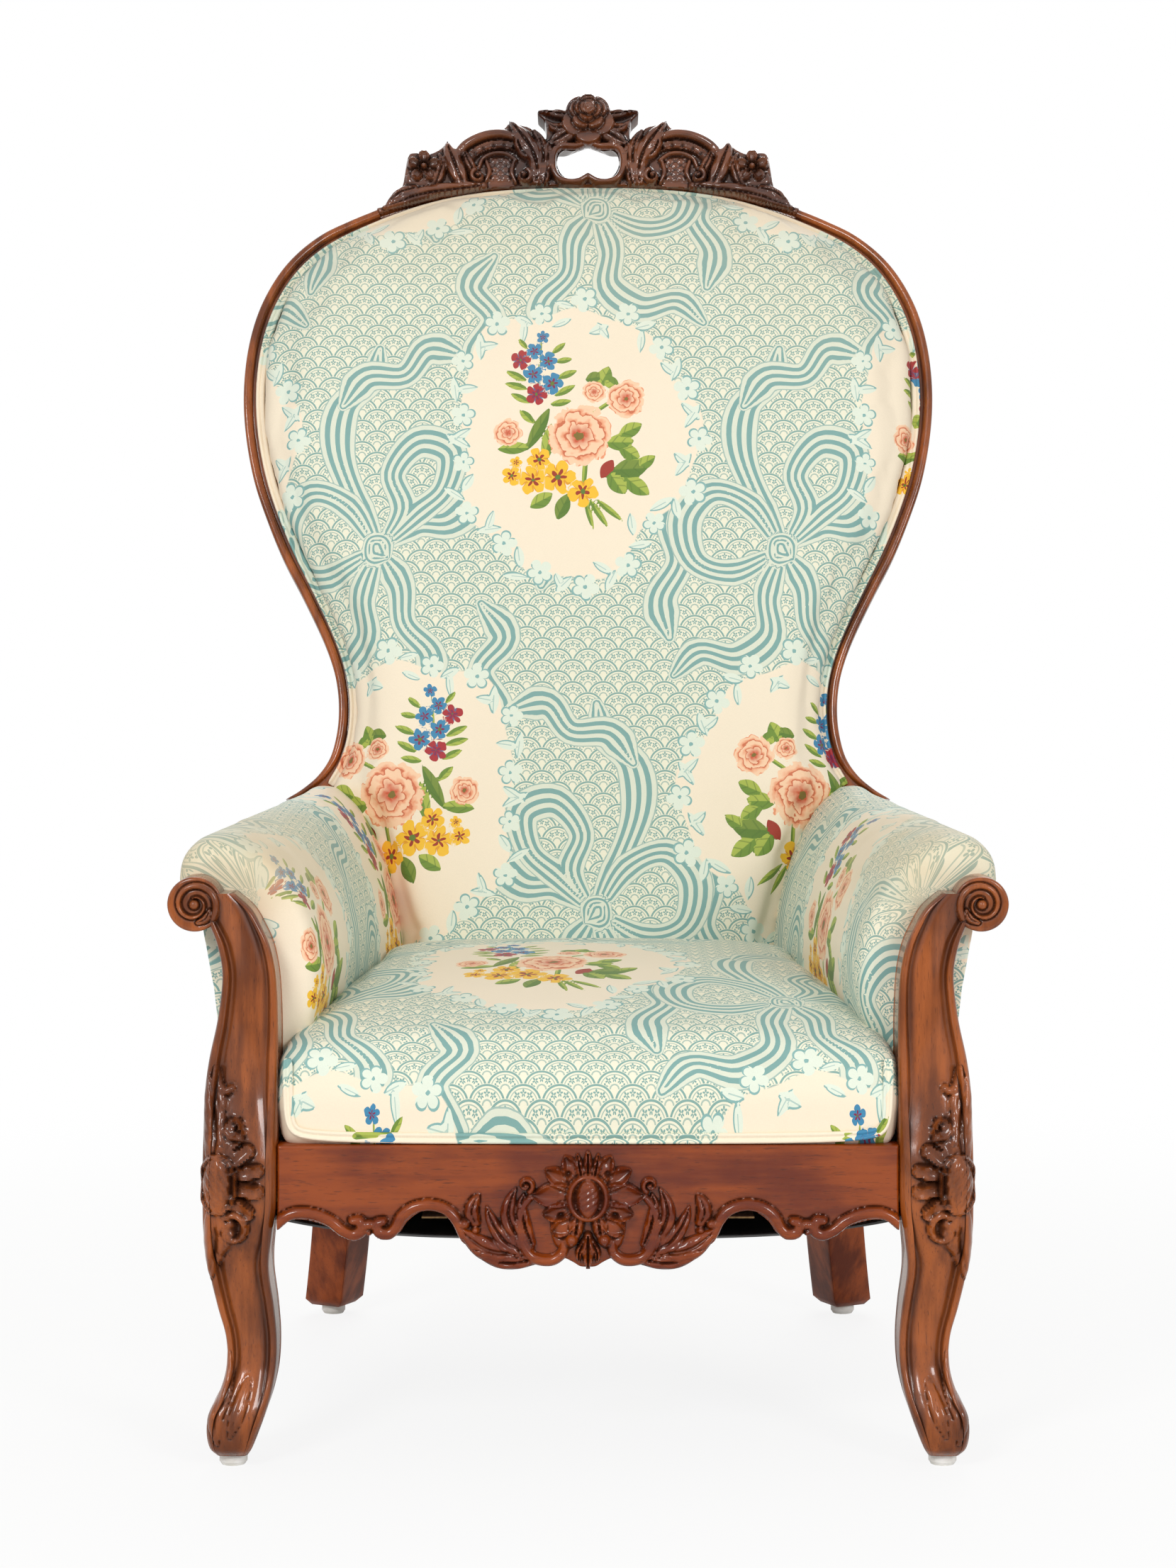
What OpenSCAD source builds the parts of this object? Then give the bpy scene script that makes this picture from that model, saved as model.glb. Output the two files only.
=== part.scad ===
// Low upholstered armchair with a spoon-shaped back, a carved crest and scrolled arms.
// Millimetres, +Z up, the front faces -Y, the floor is Z = 0 and X = 0 is the plane of symmetry.

/* [Frame] */
// Outer half width of the front legs at the arm support
support_out = 293; // [280:1:310]
// Width of the arm support across its front
support_w = 50; // [44:1:56]
// Depth of the arm support, front to back
support_d = 36; // [32:1:44]
// How far each arm scroll stands out past its support
scroll_out = 37; // [32:1:42]
// Radius of the arm scroll
scroll_r = 21.5; // [19:0.5:24]
// Height of the centre of the arm scroll above the floor
scroll_z = 439.5; // [425:1:455]
// Height of the top of the seat rails above the floor
rail_top = 252; // [240:1:270]
// Height of the side and back seat rails
rail_h = 60; // [50:1:66]
// Thickness of the seat rails
rail_t = 26; // [22:1:30]
// Depth of the seat frame, from the front leg to the back frame
seat_d = 503; // [480:1:530]
// Width of a rear leg across each face
rear_leg_w = 40; // [36:1:46]
// How far a rear foot kicks back from the seat rail
rear_kick = 76; // [60:1:90]
// Turn of the rear legs about the vertical, in degrees
rear_turn = 28; // [20:1:34]
// Diameter of a glide
glide_dia = 22; // [18:1:26]
// Height of a glide under the foot
glide_h = 9; // [7:1:12]

/* [Back] */
// Half width of the back at its widest
back_half = 331; // [315:1:345]
// Length of the back up its slope, from the seat rail to the top of the crest
back_l = 949; // [900:1:980]
// Lean of the back, in degrees
back_rake = 13; // [10:0.5:15]
// How far the widest part of the back curves forward of its middle
back_bow = 34; // [20:1:45]
// Thickness of the back frame
stile_t = 26; // [22:1:32]
// Width of the wood of the back frame
stile_w = 45; // [40:1:52]
// Width of the wood that shows round the upholstery
show_w = 10; // [8:1:14]

/* [Upholstery] */
// Height of the crown of the seat above the rails
seat_crown = 112; // [100:1:125]
// Thickness of the stuffing over the springs
seat_pad_t = 38; // [34:1:44]
// Thickness of the back stuffing at its fullest
back_pad_t = 48; // [42:1:56]
// Thickness of the fabric covers
cover_t = 1.4; // [1.2:0.1:1.6]
// Diameter of one cord of the double welt
welt_dia = 4.5; // [4:0.5:5.5]
// Number of springs along each side of the seat
spring_rows = 3; // [2:1:3]

/* [Hidden] */

// Seams between pieces that touch, and the overrun of every cut
seam = 0.3;
cut = 1;

// Finishes
walnut = [0.42, 0.19, 0.09];
dark_walnut = [0.30, 0.13, 0.07];
beech = [0.72, 0.56, 0.38];
chintz = [0.78, 0.83, 0.74];
cream = [0.93, 0.87, 0.74];
jute = [0.66, 0.53, 0.35];
hair = [0.50, 0.42, 0.32];
steel = [0.55, 0.55, 0.56];
cambric = [0.08, 0.08, 0.08];
nylon = [0.93, 0.93, 0.91];

// Places worked out from the sizes above
front_y = -364.8;
back_y = front_y + seat_d;
support_in = support_out - support_w;
support_setback = 18;
foot_z = glide_h;
rail_bottom = rail_top - rail_h;
rail_y = front_y + 10;
support_back_y = front_y + support_setback + support_d;
rear_rail_y = back_y - 6;

// One number blended into another, and a Catmull-Rom curve through a list of points
function mix(a, b, t) = a + (b - a) * t;
function curve_at(a, b, c, d, t) =
    0.5 * (2 * b + (c - a) * t + (2 * a - 5 * b + 4 * c - d) * t * t + (3 * b - a - 3 * c + d) * t * t * t);
function curve(p, steps) = [
    for (i = [0 : len(p) - 2], k = [0 : steps - 1])
        curve_at(p[max(i - 1, 0)], p[i], p[i + 1], p[min(i + 2, len(p) - 1)], k / steps),
    p[len(p) - 1]];
function backwards(p) = [for (i = [len(p) - 1 : -1 : 0]) p[i]];
function scaled(p, w, h) = [for (q = p) [q[0] * w, q[1] * h]];
function mirrored(p) = [for (q = p) [-q[0], q[1]]];
// A closed outline from its right half, drawn anticlockwise from the middle at the bottom
function whole(half) = concat(half,
    [for (i = [len(half) - 1 : -1 : 0]) if (half[i][0] > 0) [-half[i][0], half[i][1]]]);
function unit(v) = v / norm(v);
// Outline point moved inwards, to the left of the way the line runs
function inset(line, i, closed, d) =
    let (n = len(line),
         a = line[closed ? (i + n - 1) % n : max(i - 1, 0)],
         b = line[closed ? (i + 1) % n : min(i + 1, n - 1)],
         t = unit(b - a))
    line[i] + d * [-t[1], t[0]];

// A closed solid through rings of points that run anticlockwise about the way the rings progress.
// The second half of a ring is split the other way, so that the two walls of a skin stay parallel.
module loft(rings, looped = false, flip = false) {
    n = len(rings[0]);
    m = len(rings);
    last = looped ? m - 1 : m - 2;
    sides = [
        for (i = [0 : last], j = [0 : n - 1])
            let (a = i * n + j, b = i * n + (j + 1) % n,
                 c = ((i + 1) % m) * n + (j + 1) % n, d = ((i + 1) % m) * n + j)
            each j < n / 2 - 1 ? [[a, d, c], [a, c, b]] : [[a, d, b], [d, c, b]]];
    caps = looped ? [] : [
        for (i = [0 : n / 2 - 2])
            let (e = (m - 1) * n)
            each [[i, i + 1, n - 2 - i], [i, n - 2 - i, n - 1 - i],
                  [e + i, e + n - 2 - i, e + i + 1], [e + i, e + n - 1 - i, e + n - 2 - i]]];
    faces = concat(sides, caps);
    polyhedron(points = [for (r = rings) each r],
               faces = flip ? [for (f = faces) [f[0], f[2], f[1]]] : faces);
}

// Both sides of the chair from one piece that is drawn on the right
module left() { mirror([1, 0, 0]) children(); }

// A closed solid from rows of [across, up, half width, height], laid like carving on a surface.
// A section holds shares of the half width and of the height, and below zero of how deep it sinks.
LEAF = [[1, 0.1], [0.55, 1], [0, 0.72], [-0.55, 1], [-1, 0.1], [0, -1]];
BAND = [[1, 0], [0.55, 0.85], [-0.55, 0.85], [-1, 0], [-0.5, -1], [0.5, -1]];
PETAL = [[1, 0.9], [0.5, 0.6], [-0.5, 0.6], [-1, 0.9], [-0.6, -1], [0.6, -1]];
module relief(rows, section, face, sink) {
    n = len(rows);
    loft([for (k = [0 : n - 1])
        let (r = rows[k],
             d = rows[min(k + 1, n - 1)] - rows[max(k - 1, 0)],
             t = unit([d[0], d[1]]),
             s = [-t[1], t[0]])
        [for (q = section) let (p = [r[0], r[1]] + s * r[2] * q[0])
            [p[0], p[1], face(p[0], p[1]) + q[1] * (q[1] < 0 ? sink : r[3])]]]);
}
// A round boss of a given radius and height, with so many sides
module boss(at, r, h, face, sink, sides = 8, tall = 1) {
    z = face(at[0], at[1]);
    translate([at[0], at[1], z]) scale([1, tall, 1]) hull() {
        translate([0, 0, -sink]) cylinder(h = sink, r = r, $fn = sides);
        cylinder(h = h, r = r * 0.6, $fn = sides);
    }
}
// What is drawn flat, with its relief towards +Z, stands up and faces the front
module upright() { rotate([90, 0, 0]) children(); }
module both() { children(); mirror([1, 0, 0]) children(); }

// Front legs, each one piece of wood from its toe up through the arm support to the scroll.
// A row holds the height as a share of the scroll's, the outer and the inner edge as shares of
// the support's width, the front and the back as shares of the leg's depth, and how far the
// beads and grooves of the front are cut.
leg_d = support_setback + support_d;
leg_rows = [
    [glide_h / scroll_z, -0.04, 0.46, 0.20, 0.76, 0],
    [0.036, 0.06, 0.38, 0.06, 0.83, 0],
    [0.064, 0.106, 0.28, 0, 0.89, 0.1],
    [0.096, 0.07, 0.18, 0, 0.86, 0.3],
    [0.132, -0.09, 0.09, 0.11, 0.89, 0.6],
    [0.177, -0.20, 0.03, 0.25, 0.935, 1],
    [0.228, -0.18, 0.02, 0.31, 0.97, 1],
    [0.284, -0.05, 0.06, 0.28, 0.97, 1],
    [0.353, 0.08, 0.13, 0.17, 0.97, 1],
    [0.410, 0.16, 0.08, 0.08, 0.99, 0.8],
    [0.466, 0.18, 0.01, 0.03, 1.02, 0.5],
    [0.535, 0.18, 0, 0.02, 1.03, 0.5],
    [0.590, 0.17, 0, 0.11, 1, 0.8],
    [0.660, 0.15, 0, 0.22, 1, 1],
    [0.724, 0.08, 0, 0.28, 1, 1],
    [0.796, -0.05, 0, 0.32, 1, 1],
    [0.869, -0.12, 0.03, 0.333, 1, 1],
    [0.922, -0.05, 0.12, 0.333, 1, 1],
    [0.960, 0.08, 0.26, 0.333, 1, 0.8],
    [0.992, 0.22, 0.42, 0.333, 1, 0.5],
    [1.019, 0.32, 0.68, 0.333, 1, 0]];
leg_section = [
    [-1, -0.6], [-0.8, -1], [-0.5, -0.74], [-0.2, -0.95], [0.25, -0.97], [0.55, -0.76],
    [0.82, -1], [1, -0.6], [1, 0.7], [0.6, 1], [-0.6, 1], [-1, 0.7]];
function squircle(p) = p / pow(pow(abs(p[0]), 4) + pow(abs(p[1]), 4), 0.25);
function leg_ring(r) =
    let (x1 = support_in + r[2] * support_w, x2 = support_out + r[1] * support_w,
         y1 = front_y + r[3] * leg_d, y2 = front_y + r[4] * leg_d)
    [for (q = leg_section) let (p = mix(squircle(q), q, r[5]))
        [mix(x1, x2, (p[0] + 1) / 2), mix(y1, y2, (p[1] + 1) / 2), r[0] * scroll_z]];
function leg_face(z) = front_y + leg_d * lookup(z / scroll_z, [for (r = leg_rows) [r[0], r[3]]]);
knee_z = 0.507 * scroll_z;
knee_x = support_out;
carve = 0.11 * support_w;
sink = 0.09 * support_w;
scroll_x = support_out + scroll_out - scroll_r;
// Places on the knee and the toe are given as shares of the support's width from the knee's centre
function knee(rows) = [for (r = rows)
    [knee_x + r[0] * support_w, knee_z + r[1] * support_w, r[2] * support_w, r[3] * carve]];
knee_turn = 0.35;
knee_face = function(x, z) -leg_face(z) - carve / 2
    - knee_turn * max(0, x - knee_x) - 0.02 * support_w;
module front_leg() {
    color(walnut) difference() {
        union() {
            loft([for (r = curve(leg_rows, 2))
                if (r[0] < 0.5 || r[0] > 0.82 || len(search(r[0], leg_rows)) > 0) leg_ring(r)]);
            translate([scroll_x, front_y + leg_d, scroll_z]) upright() arm_scroll();
            upright() knee_carving();
            upright() toe_leaf();
        }
        front_dowels(dowel_dia / 2 + seam / 2);
        side_dowels(dowel_dia / 2 + seam / 2, front = true);
    }
}
// The scroll with rounded edges, and the volute that winds into its middle
scroll_turns = 1.2;
module arm_scroll() {
    edge = scroll_r * 0.12;
    rotate_extrude($fn = 22)
        polygon([[0, 0], [scroll_r - edge, 0], [scroll_r, edge], [scroll_r, support_d - edge],
                 [scroll_r - edge, support_d], [0, support_d]]);
    relief([for (k = [0 : 9])
        let (a = 205 - 360 * scroll_turns * k / 9, r = scroll_r * mix(0.84, 0.2, k / 9))
        [r * cos(a), r * sin(a), scroll_r * mix(0.14, 0.09, k / 9), scroll_r * 0.17]],
        BAND, function(x, z) support_d, sink / 2);
    boss([0, 0], scroll_r * 0.2, scroll_r * 0.2, function(x, z) support_d, sink / 2);
}
module knee_carving() {
    boss([knee_x, knee_z], 0.19 * support_w, carve, knee_face, sink, 10, 1.9);
    relief([for (k = [0 : 6]) let (a = 100 + k * 28)
        [knee_x + 0.27 * support_w * cos(a), knee_z + 0.46 * support_w * sin(a),
         0.06 * support_w, carve * 0.6]], BAND, knee_face, sink);
    for (lobe = [[-0.28, 0.58, 0.12], [-0.43, 0.42, 0.13], [-0.6, 0.14, 0.12], [-0.44, -0.34, 0.13],
                 [-0.30, -0.84, 0.11], [-0.2, 0.92, 0.15]])
        boss([knee_x + lobe[0] * support_w, knee_z + lobe[1] * support_w], lobe[2] * support_w,
             carve * 0.8, knee_face, sink, 6);
    relief(knee([[-0.02, 0.48, 0.12, 0.5], [-0.06, 0.85, 0.2, 1], [-0.04, 1.3, 0.17, 0.9],
                 [0, 1.8, 0.11, 0.7], [0, 2.25, 0.02, 0.3]]), LEAF, knee_face, sink);
    relief(knee([[-0.02, -0.5, 0.12, 0.5], [-0.06, -0.8, 0.2, 1], [-0.04, -1.15, 0.16, 0.8],
                 [0, -1.52, 0.02, 0.3]]), LEAF, knee_face, sink);
}
toe_face = function(x, z) -leg_face(z) - 0.03 * support_w;
module toe_leaf() {
    for (rows = [[[-0.25, 0.195, 0.03, 0.4], [-0.22, 0.14, 0.14, 1], [-0.10, 0.095, 0.2, 0.8],
                  [-0.06, 0.05, 0.16, 0.5]],
                 [[-0.54, 0.15, 0.06, 0.4], [-0.42, 0.105, 0.12, 0.9], [-0.3, 0.055, 0.12, 0.5]]])
        relief([for (r = rows) [support_out + r[0] * support_w, r[1] * scroll_z,
                                r[2] * support_w, r[3] * carve]], LEAF, toe_face, sink);
}

// Dowels of the seat frame: two in each end of the front rail and of the side rails
dowel_dia = 0.14 * rail_h;
dowel_l = 0.6 * rail_h;
module dowel_pair(r) {
    for (z = [0.3, 0.7]) translate([0, 0, rail_bottom + z * rail_h])
        rotate([0, 90, 0]) cylinder(h = dowel_l, r = r, center = true, $fn = 14);
}
module front_dowels(r) { translate([support_in, rail_y + rail_t / 2, 0]) dowel_pair(r); }
module side_dowels(r, front) {
    at = front ? [side_x(side_y0) - rail_t / 2, side_y0] : [side_x(side_y1) - rail_t / 2, side_y1];
    translate([at[0], at[1], 0]) rotate([0, 0, 90]) dowel_pair(r);
}
module rail_dowels() {
    color(beech) both() {
        front_dowels(dowel_dia / 2);
        side_dowels(dowel_dia / 2, front = true);
        side_dowels(dowel_dia / 2, front = false);
    }
}

// The front rail: its lower edge follows the curve of the knees, two scrolls a side and a drop
apron_h = 1.6 * rail_h;
apron_half = support_in - seam;
apron_edge = [[1, 0.7], [0.972, 0.625], [0.93, 0.604], [0.88, 0.625], [0.836, 0.667], [0.8, 0.74],
              [0.758, 0.77], [0.725, 0.74], [0.7, 0.7], [0.672, 0.735], [0.64, 0.75], [0.606, 0.708],
              [0.58, 0.615], [0.536, 0.54], [0.486, 0.54], [0.437, 0.615], [0.408, 0.78],
              [0.363, 0.84], [0.309, 0.885], [0.247, 0.906], [0.19, 0.948], [0.132, 0.94],
              [0.082, 0.917], [0.05, 0.948], [0.025, 0.992], [0, 1]];
function on_apron(p) = [p[0] * apron_half, rail_top - p[1] * apron_h];
apron_face = function(x, z) -rail_y;
bead_r = 0.09 * rail_h;
module apron_bead(rows) {
    relief([for (r = rows) concat(on_apron(r), [bead_r, bead_r])], BAND, apron_face, bead_r / 2);
}
module front_rail() {
    edge = [for (p = apron_edge) on_apron(p)];
    color(walnut) difference() {
        union() {
            translate([0, rail_y + rail_t, 0]) upright() linear_extrude(rail_t)
                polygon(whole(concat(backwards(edge), [[apron_half, rail_top]])));
            both() upright() {
                apron_bead([[0.985, 0.6], [0.93, 0.54], [0.88, 0.555], [0.825, 0.6], [0.79, 0.665]]);
                apron_bead([[0.66, 0.665], [0.61, 0.62], [0.57, 0.53], [0.515, 0.475], [0.455, 0.49],
                            [0.42, 0.58]]);
                for (knob = [[0.757, 0.64, 1.5], [0.70, 0.62, 0.9], [0.672, 0.7, 1.3],
                             [0.375, 0.56, 1.2]])
                    boss(on_apron(knob), bead_r * knob[2], bead_r, apron_face, bead_r / 2, 7);
            }
        }
        both() front_dowels(dowel_dia / 2 + seam / 2);
        both() block_screw_at(front = true, hole = true);
    }
}

// The carved cartouche glued to the middle of the front rail
cart_r = 0.7 * rail_h;
cart_z = rail_top - 0.42 * apron_h;
cart_t = 0.11 * rail_h;
cart_edge = [[0, 0.83], [0.2, 0.79], [0.38, 0.72], [0.5, 0.6], [0.56, 0.46], [0.7, 0.46], [0.8, 0.28],
             [1, 0], [0.8, -0.18], [0.74, -0.34], [0.56, -0.36], [0.69, -0.55], [0.62, -0.71],
             [0.42, -0.74], [0.28, -0.62], [0.14, -0.76], [0, -0.8]];
function on_cart(p) = [p[0] * cart_r, cart_z + p[1] * cart_r];
cart_face = function(x, z) cart_t - rail_y;
rail_plane = function(x, z) seam - rail_y;
module cart_leaf(rows, section = LEAF) {
    relief([for (r = rows) concat(on_cart(r), [r[2] * cart_r, r[3] * cart_t])], section, rail_plane,
        cart_t);
}
module apron_cartouche() {
    color(walnut) upright() difference() {
        union() {
            translate([0, 0, seam - rail_y - cart_t]) linear_extrude(2 * cart_t)
                polygon(whole(backwards([for (p = cart_edge) on_cart(p)])));
            boss(on_cart([0, 0]), 0.25 * cart_r, cart_t, cart_face, cart_t / 2, 10, 1.2);
            relief([for (k = [0 : 8]) let (a = k * 45)
                [0.34 * cart_r * cos(a), cart_z + 0.39 * cart_r * sin(a), 0.05 * cart_r, 0.5 * cart_t]],
                BAND, cart_face, cart_t / 2);
            for (rib = [-0.22, 0, 0.22])
                boss(on_cart([rib, 0.62 - abs(rib) / 3]), 0.09 * cart_r, 0.6 * cart_t, cart_face,
                    cart_t / 2, 5, 1.8);
            cart_leaf([[0, -0.5, 0.05, 1], [0, -0.8, 0.13, 1.6], [0, -1.1, 0.12, 1.3],
                [0, -1.27, 0.03, 0.6]]);
            both() {
                boss(on_cart([0.3, -0.74]), 0.15 * cart_r, cart_t * 1.1, cart_face, cart_t, 7);
                boss(on_cart([1.12, 0.3]), 0.2 * cart_r, cart_t * 1.2, rail_plane, cart_t, 7);
                cart_leaf([[0.36, -0.86, 0.1, 1.3], [0.6, -1.0, 0.13, 1.4], [0.92, -0.9, 0.14, 1.4],
                           [1.14, -0.4, 0.11, 1.2], [1.12, 0.12, 0.07, 1]], BAND);
                cart_leaf([[0.9, -1.0, 0.08, 0.8], [1.25, -0.98, 0.18, 1.3], [1.7, -0.82, 0.2, 1.2],
                           [2.05, -0.64, 0.15, 1], [2.27, -0.56, 0.04, 0.5]]);
                cart_leaf([[1.0, -0.9, 0.08, 0.8], [1.3, -0.6, 0.16, 1.3], [1.42, -0.25, 0.12, 1.1],
                           [1.44, 0, 0.03, 0.4]]);
            }
        }
        both() for (p = [[0.36, 0.42], [0.5, -0.32]])
            translate(concat(on_cart(p), [seam - rail_y + cart_t / 4]))
                cylinder(h = cart_t * 2, r = 0.085 * cart_r, $fn = 12);
        translate([-4 * cart_r, cart_z - 2 * cart_r, seam - rail_y - 4 * cart_t])
            cube([8 * cart_r, 4 * cart_r, 4 * cart_t]);
    }
}

// Side rails run from the back of each front leg to the front of each rear leg
side_y0 = front_y + leg_d * 1.04 + seam;
side_y1 = back_y + rear_leg_w * 0.175 - rear_leg_w / 2 - seam;
side_x0 = support_out;
side_x1 = support_out - 0.095 * seat_d;
function side_x(y) = mix(side_x0, side_x1, (y - side_y0) / (side_y1 - side_y0));
module side_rail() {
    plan = [[side_x0 - rail_t, side_y0], [side_x0, side_y0], [side_x1, side_y1],
        [side_x1 - rail_t, side_y1]];
    color(walnut) difference() {
        translate([0, 0, rail_bottom]) linear_extrude(rail_h) polygon(plan);
        side_dowels(dowel_dia / 2 + seam / 2, front = true);
        side_dowels(dowel_dia / 2 + seam / 2, front = false);
    }
}

// The outer panel of an arm, in front and behind, as shares of the support's half width and of
// the rail's height. Its front edge turns in behind the support.
outer_front = [[0.988, 1.001], [0.990, 1.19], [1.0, 1.325], [1.015, 1.47], [1.036, 1.60], [1.050, 1.695]];
outer_back = [[0.843, 1.001], [0.843, 1.19], [0.850, 1.325], [0.866, 1.51], [0.890, 1.69], [0.900, 1.765]];
turn_in = [0.27, 0.47, 0.5, 0.5, 0.45, cover_t / support_w];

// Rear legs, square in section: each kicks back to its foot and carries a post behind the arm
post_half = rear_leg_w * 0.45;
post_x = side_x1 - rear_leg_w / 2;
leg_y = back_y + rear_leg_w * 0.175;
post_top = 0.2475 * back_l;
foot_out = 0.24 * rear_kick;
function square_ring(at, half, turn) = [
    for (q = [[-1, -0.78], [-0.78, -1], [0.78, -1], [1, -0.78], [1, 0.78], [0.78, 1], [-0.78, 1],
        [-1, 0.78]])
        let (p = [q[0] * half, q[1] * half])
        [at[0] + p[0] * cos(turn) - p[1] * sin(turn), at[1] + p[0] * sin(turn) + p[1] * cos(turn), at[2]]];
function rear_place(z) = let (d = pow(max(0, 1 - z / rail_bottom), 1.7))
    [post_x + foot_out * d, leg_y + rear_kick * d, z];
// The outside of the post spreads with the outer panel of the arm, towards the ear
function post_side(s) = support_out
    * lookup(1 + s * cos(back_rake) / rail_top, [for (p = outer_back) [p[1], p[0]]]) - cover_t - 4 * seam;
function post_ring(s) = [
    for (q = [[0, -0.78], [0.1, -1], [0.9, -1], [1, -0.78], [1, 0.78], [0.9, 1], [0.1, 1], [0, 0.78]])
        back_point(mix(post_x - post_half, post_side(s), q[0]), stile_t / 2 + q[1] * (stile_t / 2 - seam),
            s)];
module rear_leg() {
    color(walnut) difference() {
        loft(concat(
            [square_ring(rear_place(foot_z), rear_leg_w * 0.38, rear_turn),
             square_ring(rear_place(foot_z + rear_leg_w * 0.08), rear_leg_w * 0.47, rear_turn)],
            [for (k = [0.12, 0.25, 0.4, 0.55, 0.7, 0.85])
                square_ring(rear_place(k * rail_bottom), rear_leg_w / 2, rear_turn)],
            [square_ring(rear_place(rail_bottom), rear_leg_w / 2, 0),
             square_ring(rear_place(rail_top), rear_leg_w / 2, 0)],
            [for (s = [0.012, 0.4, 0.8, 1]) post_ring(s * post_top)]));
        side_dowels(dowel_dia / 2 + seam / 2, front = false);
    }
}

// The back leans, and bows forward towards its sides: a point across, behind its face and up it
function bow_at(x) = back_bow * pow(x / back_half, 2);
function back_point(x, t, s) = let (d = t - bow_at(x))
    [x, back_y + d * cos(back_rake) + s * sin(back_rake),
        rail_top - d * sin(back_rake) + s * cos(back_rake)];
module on_back() { translate([0, back_y, rail_top]) rotate([-back_rake, 0, 0]) children(); }
slab_half = back_half * 1.05;
slab_steps = 14;
// Everything between two surfaces that follow the bow of the back
module bowed(t1, t2) {
    xs = [for (i = [0 : slab_steps]) mix(-slab_half, slab_half, i / slab_steps)];
    linear_extrude(back_l * 1.1) polygon(concat(
        [for (x = xs) [x, t1 - bow_at(x)]], backwards([for (x = xs) [x, t2 - bow_at(x)]])));
}
module bowed_plate(outline, t1, t2) {
    intersection() {
        bowed(t1, t2);
        translate([0, stile_t * 3, 0]) upright() linear_extrude(stile_t * 3 + back_bow
            * 3) polygon(outline);
    }
}
module back_seat_rail() {
    half = post_x - rear_leg_w / 2 - seam;
    color(beech) difference() {
        translate([-half, back_y, rail_bottom]) cube([2 * half, rail_t, rail_h]);
        both() block_screw_at(front = false, hole = true);
    }
}

// The hoop of the back as shares of its half width and length, from the waist up to the crest
hoop = [[0.712, 0.338], [0.7155, 0.362], [0.730, 0.386], [0.762, 0.416], [0.819, 0.457], [0.879, 0.497],
    [0.927, 0.537],
        [0.965, 0.576], [0.991, 0.622], [1, 0.666], [0.991, 0.711], [0.964, 0.752], [0.918, 0.788],
        [0.861, 0.816], [0.785, 0.840], [0.701, 0.857], [0.625, 0.870]];
hoop_line = scaled(hoop, back_half, back_l);
// Below the waist the hoop spreads into an ear over the arm: outer then inner edge
ear = [[0.855, 0.252, 0.59, 0.248], [0.812, 0.262, 0.578, 0.264], [0.768, 0.276, 0.574, 0.280],
       [0.735, 0.294, 0.572, 0.298], [0.718, 0.316, 0.572, 0.318]];
stile_rows = concat(
    [for (e = ear) [e[0] * back_half, e[1] * back_l, e[2] * back_half, e[3] * back_l]],
    [for (i = [0 : len(hoop) - 1]) let (p = hoop_line[i], q = inset(hoop_line, i, false, stile_w))
        [p[0], p[1], q[0], q[1]]]);
bead_w = show_w * 0.85;
bead_h = show_w * 0.6;
function stile_ring(r) =
    let (out = [r[0], r[1]], span = [r[2], r[3]] - out, way = unit(span), width = norm(span))
    [for (q = [[0, 0], [0.12, -0.8], [0.5, -1], [0.88, -0.8], [1.05, 0]])
        let (p = out + way * q[0] * bead_w) [p[0], q[1] * bead_h - bow_at(p[0]), p[1]],
     for (q = [[1, 0], [1, 1], [0.5, 1], [0.12, 1], [0, 0.7]])
        let (p = out + way * q[0] * width) [p[0], q[1] * stile_t - bow_at(p[0]), p[1]]];
module back_stile() {
    color(walnut) on_back() loft([for (r = stile_rows) stile_ring(r)], flip = true);
}

// The crest: a pierced plate with its carving, jointed to the stiles at both ends
crest_end = hoop_line[len(hoop) - 1];
crest_in = inset(hoop_line, len(hoop) - 1, false, stile_w);
crest_top = [[0.589, 0.877], [0.571, 0.890], [0.550, 0.896], [0.532, 0.928], [0.514, 0.933],
             [0.474, 0.931], [0.438, 0.938], [0.420, 0.944], [0.399, 0.939], [0.363, 0.947],
             [0.323, 0.954], [0.266, 0.957], [0.233, 0.969], [0.208, 0.966], [0.172, 0.963],
             [0.142, 0.958], [0.118, 0.957], [0.115, 0.964], [0.136, 0.981], [0.073, 0.980], [0, 0.978]];
crest_low = [[0, 0.856], [0.172, 0.855], [0.284, 0.852], [0.360, 0.848], [0.435, 0.842], [0.508, 0.834]];
pierced = [[0, 0.9135], [0.030, 0.9075], [0.056, 0.9068], [0.078, 0.911], [0.092, 0.921],
           [0.088, 0.932], [0.072, 0.9375], [0.045, 0.937], [0.018, 0.9395], [0, 0.9425]];
crest_t = stile_t * 1.15;
crest_proud = stile_t * 0.3;
crest_rise = stile_t * 0.28;
crest_face = function(x, s) crest_proud + bow_at(x);
function on_crest(p) = [p[0] * back_half, p[1] * back_l];
function crest_rows(rows) = [for (r = rows) concat(on_crest(r), [r[2] * back_half, r[3] * crest_rise])];
module crest_relief(rows, section = LEAF) {
    relief(crest_rows(rows), section, crest_face, crest_proud / 2);
}
module crest_boss(at, r, h, sides = 7) {
    boss(on_crest(at), r * back_half, h * crest_rise, crest_face, crest_proud / 2, sides);
}
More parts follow.
